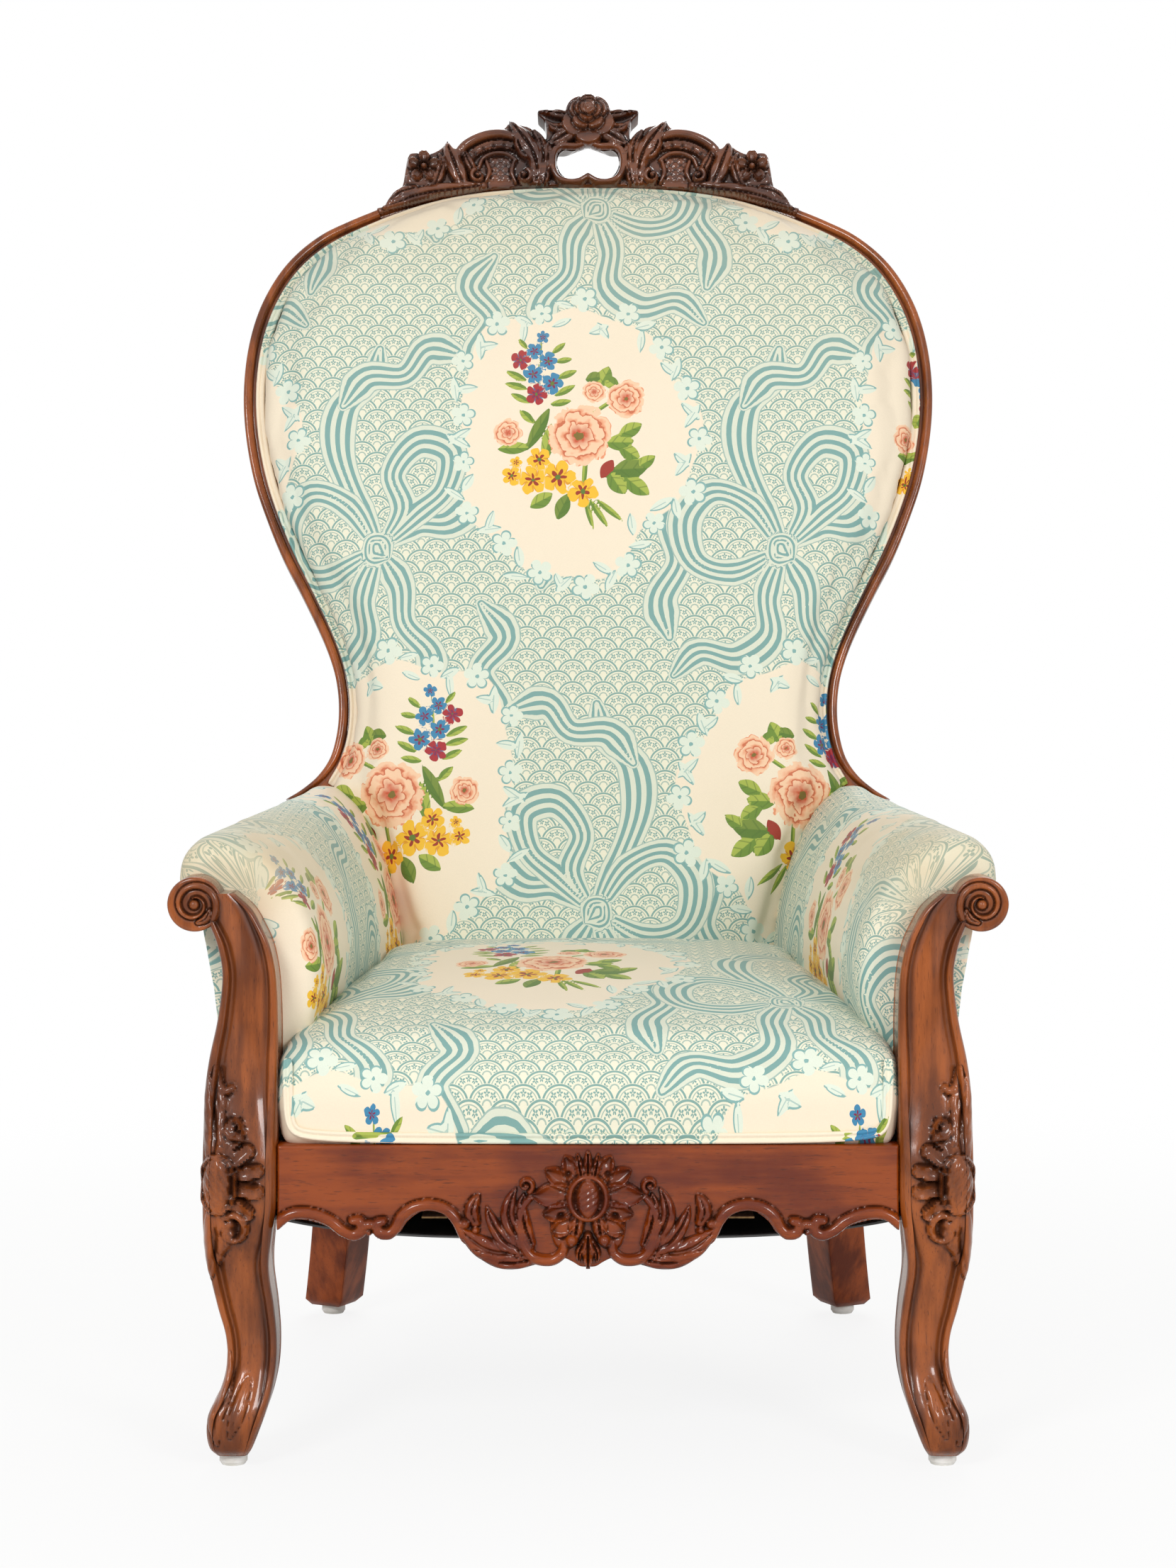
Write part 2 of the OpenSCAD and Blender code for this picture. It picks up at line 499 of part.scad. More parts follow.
// The upholstery's edge against the crest, below which the plate is cut back to the frame's face
rebate = [[0.75, 0.8], [0.75, 0.845], [0.66, 0.8585], [0.568, 0.8715], [0.435, 0.886], [0.284, 0.896],
          [0.120, 0.8995], [0, 0.900]];
module crest_plate() {
    step = unit(hoop_line[len(hoop) - 2] - crest_end) * seam;
    half = concat([for (p = crest_low) on_crest(p)], [crest_in - step, crest_end - step],
                  [for (p = crest_top) on_crest(p)]);
    difference() {
        bowed_plate(whole(half), -crest_proud, crest_t - crest_proud);
        translate([0, stile_t * 2, 0]) upright() linear_extrude(stile_t * 4)
            polygon(whole([for (p = pierced) on_crest(p)]));
        bowed_plate(whole(concat([[0, 0.8 * back_l]], [for (p = rebate) on_crest(p)])), -crest_proud - cut,
            0);
    }
}
module crest_carving() {
    crest_relief([[0.187, 0.902, 0.012, 0.5], [0.170, 0.919, 0.028, 1.2], [0.176, 0.938, 0.032, 1.3],
                  [0.200, 0.954, 0.022, 1], [0.227, 0.966, 0.004, 0.4]]);
    crest_relief([[0.150, 0.908, 0.010, 0.5], [0.141, 0.927, 0.018, 1], [0.148, 0.944, 0.018, 0.9],
                  [0.157, 0.957, 0.005, 0.4]]);
    crest_relief([[0.326, 0.908, 0.012, 0.7], [0.360, 0.915, 0.015, 0.8], [0.368, 0.929, 0.017, 0.9],
                  [0.341, 0.941, 0.018, 0.9], [0.302, 0.949, 0.018, 0.9], [0.258, 0.951, 0.015, 0.8],
                  [0.232, 0.948, 0.010, 0.6]], BAND);
    crest_relief([[0.356, 0.899, 0.010, 0.5], [0.375, 0.914, 0.024, 1.1], [0.396, 0.928, 0.022, 1],
                  [0.415, 0.940, 0.004, 0.4]]);
    crest_relief([[0.317, 0.898, 0.008, 0.5], [0.378, 0.899, 0.024, 1], [0.453, 0.894, 0.028, 1],
                  [0.514, 0.886, 0.020, 0.8], [0.560, 0.880, 0.004, 0.4]]);
    crest_relief([[0, 0.945, 0.008, 0.5], [0.036, 0.942, 0.009, 0.6], [0.073, 0.942, 0.009, 0.6],
                  [0.102, 0.932, 0.009, 0.6], [0.103, 0.917, 0.009, 0.6], [0.083, 0.905, 0.009, 0.6],
                  [0.040, 0.902, 0.009, 0.6], [0, 0.908, 0.008, 0.5]], BAND);
    crest_relief([[0.018, 0.947, 0.010, 0.6], [0.055, 0.9475, 0.016, 1], [0.090, 0.946, 0.018, 0.8],
                  [0.112, 0.937, 0.005, 0.4]]);
    crest_boss([0.326, 0.907], 0.026, 1.2);
    crest_boss([0.193, 0.907], 0.026, 1.2);
    for (k = [0 : 4]) crest_boss([0.335 - 0.030 * k, 0.9345 + 0.0065 * sin(45 * k)], 0.0065, 0.9, 4);
    for (k = [-0.5, 0.5], m = [-1, 1])
        hull() for (e = [-1, 1]) translate([(0.260 + 0.018 * k + 0.026 * m * e) * back_half,
                                           (0.9165 + 0.011 * e) * back_l,
                                               crest_proud + bow_at(0.26 * back_half)])
            cylinder(h = crest_rise * 0.4, r = 0.004 * back_half, $fn = 4);
    for (k = [0 : 4]) crest_boss([0.486 + 0.026 * cos(90 + 72 * k), 0.917 + 0.0092 * sin(90 + 72 * k)],
        0.022, 0.8, 5);
    crest_boss([0.486, 0.917], 0.013, 1.5, 6);
}
module crest_rail() {
    color(dark_walnut) on_back() union() {
        crest_plate();
        both() upright() crest_carving();
    }
}
// The rose, cut from a block glued to the top of the crest: rings of petals about a bud
rose_at = [0, 0.9755 * back_l];
rose_r = 0.071 * back_half;
rose_top = crest_proud + seam;
module petal(turn, reach, width, low, high) {
    rotate([0, 0, turn]) relief([[0, reach * 0.1, width * 0.4, high * 0.6], [0, reach * 0.6, width, high],
                                 [0, reach, width * 0.6, high * 0.7]],
                                PETAL, function(x, y) low, high / 4);
}
module crest_rose() {
    base = rose_r * 0.28;
    color(dark_walnut) on_back() upright() translate([rose_at[0], rose_at[1], rose_top]) {
        cylinder(h = base, r = rose_r * 0.5, $fn = 12);
        for (k = [0 : 4]) petal(36 + 72 * k, rose_r * 0.98, rose_r * 0.44, base / 3, base * 1.1);
        for (k = [0 : 3]) petal(90 * k, rose_r * 0.62, rose_r * 0.32, base, base * 1.3);
        boss([0, 0], rose_r * 0.3, base * 1.6, function(x, y) base * 1.2, base, 6);
    }
}
module back_lower_rail() {
    half = post_x - post_half - seam;
    outline = [[-half, 0.06 * back_l], [half, 0.06 * back_l], [half, 0.11 * back_l],
        [-half, 0.11 * back_l]];
    color(beech) on_back() bowed_plate(outline, seam, stile_t * 0.85);
}

// Blocks glued and screwed into the corners of the seat frame
block_z = rail_bottom + 0.22 * rail_h;
block_h = 0.5 * rail_h;
block_leg = 1.6 * support_w;
block_w = 0.3 * support_w;
screw_dia = 0.07 * rail_h;
front_inner = rail_y + rail_t + seam;
back_inner = back_y - seam;
rear_inner_x = post_x - rear_leg_w / 2 - seam;
module corner_blocks() {
    y1 = side_y0 + block_leg / 2;
    y2 = side_y1 - block_leg / 2;
    gap = rail_t + 2 * seam;
    front = [[support_in - block_leg * 0.7, front_inner], [support_in - seam, front_inner],
             [support_in - seam, side_y0], [side_x(side_y0) - gap, side_y0], [side_x(y1) - gap, y1],
             [side_x(y1) - gap - block_w, y1], [support_in - block_leg * 0.7, front_inner + block_w]];
    back = [[rear_inner_x - block_leg * 0.5, back_inner],
        [rear_inner_x - block_leg * 0.5, back_inner - block_w],
            [side_x(y2) - gap - block_w, y2], [side_x(y2) - gap, y2], [side_x(side_y1) - gap, side_y1],
            [rear_inner_x, side_y1], [rear_inner_x, back_inner]];
    color(beech) both() difference() {
        translate([0, 0, block_z]) linear_extrude(block_h) { polygon(front); polygon(back); }
        block_screw_at(front = true, hole = true);
        block_screw_at(front = false, hole = true);
    }
}
// A screw through the thin end of a block into the rail, or the hole that it fills
module block_screw_at(front, hole) {
    x = front ? support_in - block_leg * 0.62 : rear_inner_x - block_leg * 0.42;
    grow = hole ? seam / 2 : 0;
    head = front ? front_inner + block_w * 1.5 : back_inner - block_w * 1.5;
    translate([x, head, block_z + block_h / 2]) rotate([front ? 90 : -90, 0, 0]) {
        cylinder(h = block_w * 1.5 + rail_t * 0.7, r = screw_dia / 2 + grow, $fn = 14);
        cylinder(h = block_w * 0.5, r = screw_dia + grow, $fn = 14);
    }
}
module block_screws() {
    color(steel) both() {
        block_screw_at(front = true, hole = false);
        block_screw_at(front = false, hole = false);
    }
}

// A glide under each foot
front_glide = [support_in + 0.71 * support_w, front_y + 0.48 * leg_d];
module glides() {
    rear = rear_place(foot_z);
    color(nylon) both() for (p = [front_glide, [rear[0], rear[1]]])
        translate([p[0], p[1], 0]) rotate_extrude($fn = 20)
            polygon([[0, 0], [glide_dia * 0.42, 0], [glide_dia / 2, glide_h * 0.3],
                [glide_dia / 2, glide_h], [0, glide_h]]);
}

// The outlines of the arms, which the sides of the seat follow.
// Shares of the support's half width and of the rail's height above the floor, from the foot of
// the inside, over the roll, to the underside of the roll.
arm_front = [[0.829, 1.001], [0.826, 1.19], [0.805, 1.29], [0.768, 1.397], [0.754, 1.524], [0.775, 1.659],
             [0.829, 1.794], [0.901, 1.885], [0.990, 1.937], [1.061, 1.929], [1.109, 1.869], [1.116, 1.794],
             [1.085, 1.722]];
arm_back = [[0.607, 1.001], [0.604, 1.27], [0.607, 1.437], [0.620, 1.54], [0.640, 1.635], [0.669, 1.73],
            [0.710, 1.833], [0.758, 1.917], [0.819, 1.972], [0.880, 1.980], [0.928, 1.921], [0.940, 1.849],
            [0.915, 1.786]];
arm_front_in = [[0.935, 1.001], [0.901, 1.10], [0.894, 1.29], [0.894, 1.397], [0.894, 1.524],
    [0.897, 1.635],
                [0.904, 1.730], [0.914, 1.81], [0.973, 1.825], [1.034, 1.825], [1.044, 1.794],
                    [1.044, 1.770],
                [1.044, 1.730]];
arm_back_in = [[0.765, 1.001], [0.70, 1.10], [0.69, 1.29], [0.676, 1.437], [0.696, 1.587], [0.730, 1.706],
               [0.758, 1.786], [0.782, 1.837], [0.806, 1.877], [0.853, 1.889], [0.894, 1.857],
                   [0.901, 1.833],
               [0.894, 1.802]];
arm_plate = [[0.935, 1.001], [0.901, 1.10], [0.894, 1.29], [0.894, 1.397], [0.894, 1.524], [0.90, 1.60],
             [0.91, 1.66], [0.925, 1.70], [0.975, 1.71], [1.03, 1.71], [1.040, 1.71], [1.046, 1.71],
             [1.052, 1.708]];
arm_y0 = front_y + leg_d + 3 * seam;

// The seat: straps, springs, hessian, stuffing and cover, all worked from one crowned surface
strap_w = 0.2 * 2 * support_in * 0.55;
strap_t = cover_t;
strap_z = rail_bottom - seam - strap_t;
spring_x = [for (i = [0 : spring_rows - 1]) (i - (spring_rows - 1) / 2) * support_in
    * 0.86 / max(1, spring_rows - 1)];
spring_y = [for (i = [0 : spring_rows - 1]) front_y + seat_d * (0.2 + 0.46 * i / max(1, spring_rows - 1))];
module seat_webbing() {
    y0 = front_inner;
    color(jute) translate([0, 0, strap_z]) linear_extrude(strap_t) {
        for (x = spring_x) translate([x - strap_w / 2, y0]) square([strap_w, back_y + rail_t * 0.7 - y0]);
        for (y = spring_y) let (half = side_x(y) - rail_t * 0.3)
            translate([-half, y - strap_w / 2]) square([2 * half, strap_w]);
    }
}
seat_back_y = back_y - back_pad_t * 1.27;
function seat_share(y) = min(1, max(0, (y - rail_y) / (seat_back_y - rail_y)));
function seat_z(x, y) = let (v = seat_share(y), u = x / support_in)
    rail_top + seat_crown * (0.655 + 0.325 * (1 - pow(1 - v, 2.4)) + 0.07 * sin(180 * v) * (1 - u * u)
                             - 0.03 * pow(u, 4) * (1 - v) - 0.04 * u * u * v);
// The sides of the seat run along the insides of the arms
function inside_line(line) = [for (i = [0 : 4]) [line[i][1], line[i][0]]];
function arm_in(y, z) = let (f = max(0, (y - arm_y0) / (back_y - arm_y0)), h = z / rail_top)
    support_out * mix(lookup(h, inside_line(arm_front)), lookup(h, inside_line(arm_back)), f) - 4 * seam;
seat_mid = [0, mix(rail_y, seat_back_y, 0.5)];
seat_front_y = rail_y + 1.45 * welt_dia;
seat_plan = whole([
    [0, seat_front_y], [0.4 * support_in, seat_front_y], [0.8 * support_in, seat_front_y + 0.1 * welt_dia],
    [0.958 * support_in, seat_front_y + 0.4 * welt_dia], [0.99 * support_in, seat_front_y + 1.6 * welt_dia],
    for (k = [0.12, 0.32, 0.54, 0.76, 0.94]) let (y = mix(rail_y, seat_back_y, k)) [arm_in(y, rail_top), y],
    [0.62 * support_in, seat_back_y], [0.3 * support_in, seat_back_y], [0, seat_back_y]]);
seat_levels = [[0.07, 0], [0.4, 0], [0.68, 0.005], [0.86, 0.03], [0.95, 0.1], [0.992, 0.24], [1.008, 0.5],
               [0.985, 1]];
function seat_ring(level, d) = [for (p = seat_plan)
    let (flat = p - seat_mid, q = seat_mid + flat * level[0] * (1 - min(0.9, d / norm(flat))),
         top = seat_z(q[0], q[1]) - d, z = mix(top, rail_top + seam, level[1]),
         y = q[1] + max(0, (q[1] - seat_mid[1]) / (seat_back_y - seat_mid[1])) * (z - rail_top)
             * tan(back_rake),
         wall = arm_in(y, z + d) - d)
    [max(-wall, min(wall, q[0])), y, z]];
module seat_shell(outer, inner, count) {
    levels = [for (i = [0 : count - 1]) seat_levels[i]];
    loft(concat([for (l = levels) seat_ring(l, outer)],
                [for (i = [count - 1 : -1 : 0]) seat_ring(levels[i], inner)]), flip = true);
}
stuffing_top = cover_t + 4 * seam;
stuffing_low = stuffing_top + seat_pad_t;
module seat_cover() { color(chintz) seat_shell(0, cover_t, 8); }
module seat_stuffing() { color(hair) seat_shell(stuffing_top, stuffing_low, 8); }
module spring_hessian() { color(jute) seat_shell(stuffing_low + seam, stuffing_low + seam + cover_t, 4); }
// Springs narrow at the waist, each one unbroken helix
spring_r = 0.13 * support_in;
wire_r = 0.006 * support_in;
spring_turns = 3;
spring_rings = 6;
function spring_height(x, y) =
    min([for (a = [0 : 60 : 300]) seat_z(x + spring_r * cos(a), y + spring_r * sin(a))])
    - (stuffing_low + 2 * seam + cover_t) - wire_r - rail_bottom - wire_r - 0.02 * seat_crown;
function helix(h) = [for (k = [0 : spring_turns * spring_rings])
    let (t = k / (spring_turns * spring_rings), a = 360 * k / spring_rings,
         r = spring_r * (0.76 + 0.24 * pow(2 * t - 1, 2)))
    [r * cos(a), r * sin(a), h * t]];
module seat_spring(h) {
    line = helix(h);
    n = len(line);
    loft([for (k = [0 : n - 1])
        let (d = unit(line[min(k + 1, n - 1)] - line[max(k - 1, 0)]),
             side = unit([line[k][0], line[k][1], 0]), up = cross(d, side))
        [for (a = [45 : 90 : 315]) line[k] + wire_r * (side * cos(a) + up * sin(a))]]);
}
module seat_springs() {
    color(steel) for (x = spring_x, y = spring_y)
        translate([x, y, rail_bottom - seam + wire_r]) seat_spring(spring_height(x, y));
}
lowest_spring = min([for (x = spring_x, y = spring_y) spring_height(x, y)]);
spring_points = helix(lowest_spring);
echo(least_gap_of_a_spring_to_itself = min([
    for (i = [0 : len(spring_points) - 1], j = [i + spring_rings - 2 : len(spring_points) - 1])
        if (j > i) norm(spring_points[i] - spring_points[j])]) - 2 * wire_r);

// Double welt: two cords side by side that hide the edge of the fabric
WELT = [[0.45, 1], [0.9, 0.55], [1.1, 0.55], [1.55, 1], [2, 0.65], [2, 0], [0, 0], [0, 0.65]];
seat_welt_line = [
    [-0.985 * support_in, 0.62], [-0.985 * support_in, 0.2], [-0.965 * support_in, 0.075],
    [-0.905 * support_in, 0.01], [-0.4 * support_in, 0], [0.4 * support_in, 0], [0.905 * support_in, 0.01],
    [0.965 * support_in, 0.075], [0.985 * support_in, 0.2], [0.985 * support_in, 0.62]];
module seat_welt() {
    face = -(rail_y + 1.2 * welt_dia);
    rows = [for (p = seat_welt_line) [p[0], rail_top + seam + p[1] * seat_crown]];
    color(chintz) upright() loft([for (i = [0 : len(rows) - 1])
        [for (q = WELT) let (p = inset(rows, i, false, q[0] * welt_dia)) [p[0], p[1],
            face + q[1] * welt_dia]]],
        flip = true);
}
// The black cloth under the seat has sagged with the straps
dust_sag = 0.5 * rail_h;
dust_rows = [[0.0725, 0.985], [0.105, 0.985], [0.118, 1.12], [0.2, 1.11], [0.4, 1.06], [0.6, 1.01],
    [0.8, 0.97],
             [0.955, 0.925], [0.975, 0.815], [1.03, 0.815]];
module dust_cover() {
    color(cambric) loft([for (r = dust_rows)
        let (y = mix(front_y, back_y, r[0]), half = r[1] * support_in, v = pow(abs(2 * r[0] - 1), 4),
             us = [-1, -0.85, -0.6, -0.25, 0.25, 0.6, 0.85, 1])
        concat([for (u = us) [half * u, y, strap_z - seam - cover_t - dust_sag * max(0, 1 - v)
            * (1 - pow(u, 4))]],
               [for (u = backwards(us)) [half * u, y,
                   strap_z - seam - dust_sag * max(0, 1 - v) * (1 - pow(u, 4))]])],
        flip = true);
}

// The back: straps, hessian, stuffing and cover between the fabric line and the bowed frame
// Its edge keeps the same wood in sight all round; below the ears it narrows between the arms
frame_line = concat([for (e = ear) on_crest(e)], hoop_line);
fabric_low = [[0.556, 0.019], [0.556, 0.119], [0.621, 0.205], [0.683, 0.243]];
fabric_top = [[0.56, 0.8685], [0.435, 0.885], [0.284, 0.895], [0.120, 0.899], [0, 0.8995]];
ear_end = 2;
web_t = cover_t;
hessian_t = 0.6 * cover_t;
pad_back = web_t + hessian_t + 3 * seam;
pad_in = 2 * welt_dia + cover_t + 2 * seam;
function fabric_side(d) =
    [for (i = [ear_end : len(frame_line) - 1]) inset(frame_line, i, false, show_w + 2 * seam + d)];
function fabric_over(d) = [for (p = fabric_top) [p[0] * back_half, p[1] * back_l - d]];
function fabric_rows(d) = concat([for (p = fabric_low) [p[0] * back_half - d, p[1] * back_l]],
                                 fabric_side(d), fabric_over(d));
module back_webbing() {
    w = 0.08 * back_half;
    straps = [for (k = [-1.5 : 1 : 1.5]) [[k * 3.4 * w - w, 0.07 * back_l],
        [k * 3.4 * w + w, 0.845 * back_l]]];
    widths = [for (h = hoop) [h[1] * back_l, h[0] * back_half]];
    cross_straps = [for (k = [0.44, 0.56, 0.68])
        let (s = k * back_l, half = min(lookup(s - w, widths), lookup(s + w, widths)) - stile_w * 0.7)
        [[-half, s - w], [half, s + w]]];
    color(jute) on_back() intersection() {
        bowed(-web_t - seam, -seam);
        translate([0, stile_t, 0]) upright() linear_extrude(stile_t + back_bow * 2)
            for (b = concat(straps, cross_straps)) translate(b[0]) square(b[1] - b[0]);
    }
}
module back_hessian() {
    edge = fabric_rows(pad_in + 6 * seam);
    color(jute) on_back() bowed_plate(whole(concat([[0, edge[0][1]]], edge)),
                                      -web_t - hessian_t - 2 * seam, -web_t - 2 * seam);
}
// Across the back, the share of the half width and of the fullness at each point of a row
back_rise = [[1, 0], [0.98, 0.26], [0.84, 0.68], [0.5, 0.95]];
function back_full(s) = back_pad_t * (1.1 - pow(max(0, (s / back_l - 0.55) / 0.3495), 8));
function back_row(p, grow, foot) =
    [for (q = concat(back_rise, [[0, 1]], backwards(mirrored(back_rise))))
        let (x = q[0] * (p[0] + grow))
        [x, -bow_at(x) - (q[1] == 0 ? foot : pad_back + grow + back_full(p[1]) * q[1]), p[1]]];
// Rows of the pad: each one of the lower part, and every other one where the hoop runs smoothly
function pad_rows() = let (rows = fabric_rows(pad_in))
    [for (i = [0 : len(rows) - 2]) if (i < 11 || i % 2 == 1) rows[i]];
module back_stuffing() {
    color(hair) on_back() loft([for (p = pad_rows())
        let (row = back_row(p - [4 * seam, 0], 0, pad_back))
        concat([for (q = row) [q[0], -bow_at(q[0]) - pad_back, q[2]]], backwards(row))]);
}
module back_cover() {
    color(chintz) on_back() loft([for (p = pad_rows())
        concat(back_row(p, cover_t + seam, seam), backwards(back_row(p, seam, seam)))], flip = true);
}
module back_welt() {
    above = concat(fabric_side(0), fabric_over(0));
    edge = concat(above, backwards(mirrored([for (i = [0 : len(above) - 2]) above[i]])));
    color(chintz) on_back() loft([for (i = [0 : len(edge) - 1])
        [for (q = WELT) let (p = inset(edge, i, false, q[0] * welt_dia))
            [p[0], -bow_at(p[0]) - seam - q[1] * welt_dia, p[1]]]], flip = true);
}
module outer_back_cover() {
    line = [for (i = [0 : len(hoop) - 2]) inset(hoop_line, i, false, show_w)];
    low = concat([[0, 0.008 * back_l]], [for (k = [0.005, 0.12, 0.19, 0.235]) [post_side(k * back_l),
        k * back_l]],
        [for (p = [[0.825, 0.256], [0.784, 0.266], [0.742, 0.28], [0.708, 0.299],
            [0.69, 0.32]]) on_crest(p)]);
    top = [for (p = [[0.5, 0.872], [0.3, 0.888], [0, 0.893]]) on_crest(p)];
    color(chintz) on_back() bowed_plate(whole(concat(low, line, top)), stile_t + seam,
        stile_t + seam + cover_t);
}

// The arms: a rail under a stuffed roll, and a panel of fabric outside.
// The back end of the arm follows the bowed face of the back frame
function back_face_y(x, z) = back_y + (z - rail_top) * tan(back_rake) - bow_at(x) / cos(back_rake) - 3
    * seam;
function arm_section(p, q, f) = [for (i = [0 : len(p) - 1]) mix(p[i], q[i], f)];
function arm_shrink(line, d) = [for (i = [0 : len(line) - 1]) inset(line, i, false, -d)];
function arm_place(line, f) = [for (p = line)
    let (x = p[0], z = p[1]) [x, mix(arm_y0, back_face_y(x, z), f), z]];
function sized(line) = [for (p = line) [p[0] * support_out, p[1] * rail_top]];
arm_stops = [[0, 0.16], [0.012, 0.05], [0.05, 0], [0.3, 0], [0.6, 0], [0.85, 0], [1, 0]];
function arm_outer(f, d) = arm_shrink(sized(arm_section(arm_front, arm_back, f)), d);
function arm_inner(f) = sized(arm_section(arm_front_in, arm_back_in, f));
module arm_stuffing() {
    color(hair) loft([for (s = arm_stops)
        let (f = mix(0.006, 1, s[0]), d = cover_t + 2 * seam + s[1] * support_w)
        arm_place(concat(arm_outer(s[0], d), backwards(arm_inner(s[0]))), f)]);
}
module arm_cover() {
    near = cover_t / seat_d;
    color(chintz) loft(concat(
        [for (f = [0, near]) arm_place(concat(arm_outer(0, arm_stops[0][1] * support_w),
            backwards(sized(arm_plate))), f)],
        [for (s = arm_stops) let (d = s[1] * support_w)
            arm_place(concat(arm_outer(s[0], d), backwards(arm_outer(s[0], d + cover_t))),
                mix(near * 1.05, 1, s[0]))]));
}
module arm_rail() {
    front = sized([[0.916, 1.70], [1.036, 1.70], [1.036, 1.80], [1.02, 1.815], [0.93, 1.79],
        [0.916, 1.77]]);
    back = sized([[0.795, 1.765], [0.886, 1.765], [0.886, 1.84], [0.86, 1.865], [0.815, 1.855],
        [0.795, 1.82]]);
    color(beech) loft([for (f = [0.006, 1 + 2 * seam / seat_d])
        arm_place(arm_section(front, back, f), f)], flip = true);
}
module outer_arm() {
    near = cover_t / seat_d;
    color(chintz) loft(concat(
        [for (f = [0, near, near * 1.05, 1])
            let (line = sized(arm_section(outer_front, outer_back, f)))
            arm_place(concat(line, [for (i = [len(line) - 1 : -1 : 0])
                line[i] - [f > near ? cover_t : turn_in[i] * support_w, 0]]), f)],
        [let (line = sized(outer_back))
            [for (p = concat(line, [for (i = [len(line) - 1 : -1 : 0]) line[i] - [cover_t, 0]]))
                [p[0], back_face_y(p[0], p[1]) + stile_t / cos(back_rake), p[1]]]]), flip = true);
}

module front_leg_right() { front_leg(); }
module front_leg_left() { left() front_leg(); }
module rear_leg_right() { rear_leg(); }
module rear_leg_left() { left() rear_leg(); }
module side_rail_right() { side_rail(); }
module side_rail_left() { left() side_rail(); }
module back_stile_right() { back_stile(); }
module back_stile_left() { left() back_stile(); }
module arm_rail_right() { arm_rail(); }
module arm_rail_left() { left() arm_rail(); }
module arm_stuffing_right() { arm_stuffing(); }
module arm_stuffing_left() { left() arm_stuffing(); }
module arm_cover_right() { arm_cover(); }
module arm_cover_left() { left() arm_cover(); }
module outer_arm_right() { outer_arm(); }
module outer_arm_left() { left() outer_arm(); }

front_leg_left();
front_leg_right();
rear_leg_left();
rear_leg_right();
front_rail();
apron_cartouche();
side_rail_left();
side_rail_right();
back_seat_rail();
back_stile_left();
back_stile_right();
crest_rail();
crest_rose();
back_lower_rail();
arm_rail_left();
arm_rail_right();
corner_blocks();
block_screws();
rail_dowels();
glides();
seat_webbing();
seat_springs();
spring_hessian();
seat_stuffing();
seat_cover();
seat_welt();
dust_cover();
back_webbing();
back_hessian();
back_stuffing();
back_cover();
back_welt();
outer_back_cover();
arm_stuffing_left();
arm_stuffing_right();
arm_cover_left();
arm_cover_right();
outer_arm_left();
outer_arm_right();
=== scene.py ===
"""A low parlour armchair: carved show wood, sprung seat and flowered chintz with double welting."""

import logging
import math
from collections.abc import Callable, Sequence
from dataclasses import dataclass, field
from enum import Enum

import bmesh
import bpy
import numpy as np
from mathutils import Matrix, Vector


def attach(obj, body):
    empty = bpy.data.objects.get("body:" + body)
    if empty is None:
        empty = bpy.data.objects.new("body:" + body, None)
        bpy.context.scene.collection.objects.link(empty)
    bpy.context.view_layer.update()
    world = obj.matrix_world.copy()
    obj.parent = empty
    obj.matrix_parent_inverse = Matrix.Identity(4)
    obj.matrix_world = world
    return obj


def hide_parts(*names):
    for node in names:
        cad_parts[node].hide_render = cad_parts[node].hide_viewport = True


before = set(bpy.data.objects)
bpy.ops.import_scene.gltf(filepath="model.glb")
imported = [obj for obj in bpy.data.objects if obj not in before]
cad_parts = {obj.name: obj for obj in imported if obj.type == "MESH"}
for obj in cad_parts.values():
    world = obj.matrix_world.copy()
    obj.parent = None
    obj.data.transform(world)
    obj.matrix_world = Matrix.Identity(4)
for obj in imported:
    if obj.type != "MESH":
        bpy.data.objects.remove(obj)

log = logging.getLogger("chair")
MM = 0.001
SEED = 11
TINY = 1e-9
SHARP = math.radians(62)
# where the back's face meets the top of the seat's rails, and how far it leans
BACK_Y = 0.1382
RAIL_TOP = 0.252
RAKE = math.radians(13)
Grid = np.ndarray
Pair = tuple[float, float]


class Wire:
    """A number in a shader, which adds, scales and compares like a plain one."""

    def __init__(self, tree: bpy.types.NodeTree, socket: bpy.types.NodeSocket) -> None:
        """Keep the shader and the socket that the number comes from."""
        self.tree = tree
        self.socket = socket

    def math(self, step: str, *others: "Wire | float") -> "Wire":
        """Join this number to others through one Math node.

        Args:
            step: The operation's name.
            others: The second and third numbers, if the operation takes them.

        Returns:
            The result.
        """
        node = self.tree.nodes.new("ShaderNodeMath")
        node.operation = step
        for slot, value in zip(node.inputs, (self, *others)):
            if isinstance(value, Wire):
                self.tree.links.new(value.socket, slot)
            else:
                slot.default_value = value
        return Wire(self.tree, node.outputs[0])

    def __add__(self, other: "Wire | float") -> "Wire":
        """Sum."""
        return self.math("ADD", other)

    def __sub__(self, other: "Wire | float") -> "Wire":
        """Difference."""
        return self.math("SUBTRACT", other)

    def __mul__(self, other: "Wire | float") -> "Wire":
        """Product."""
        return self.math("MULTIPLY", other)

    def minus_from(self, value: float) -> "Wire":
        """A plain number less this one."""
        return self.math("MULTIPLY_ADD", -1.0, value)

    def over(self, limit: "Wire | float") -> "Wire":
        """One where this number is above a limit."""
        return self.math("GREATER_THAN", limit)

    def under(self, limit: "Wire | float") -> "Wire":
        """One where this number is below a limit."""
        return self.math("LESS_THAN", limit)

    def ramp(self, low: float, high: float) -> "Wire":
        """Smooth step from nought at one value to one at another.

        Args:
            low: The value that gives nought.
            high: The value that gives one.

        Returns:
            The eased number.
        """
        node = self.tree.nodes.new("ShaderNodeMapRange")
        node.interpolation_type = "SMOOTHSTEP"
        self.tree.links.new(self.socket, node.inputs[0])
        node.inputs[1].default_value = low
        node.inputs[2].default_value = high
        return Wire(self.tree, node.outputs[0])


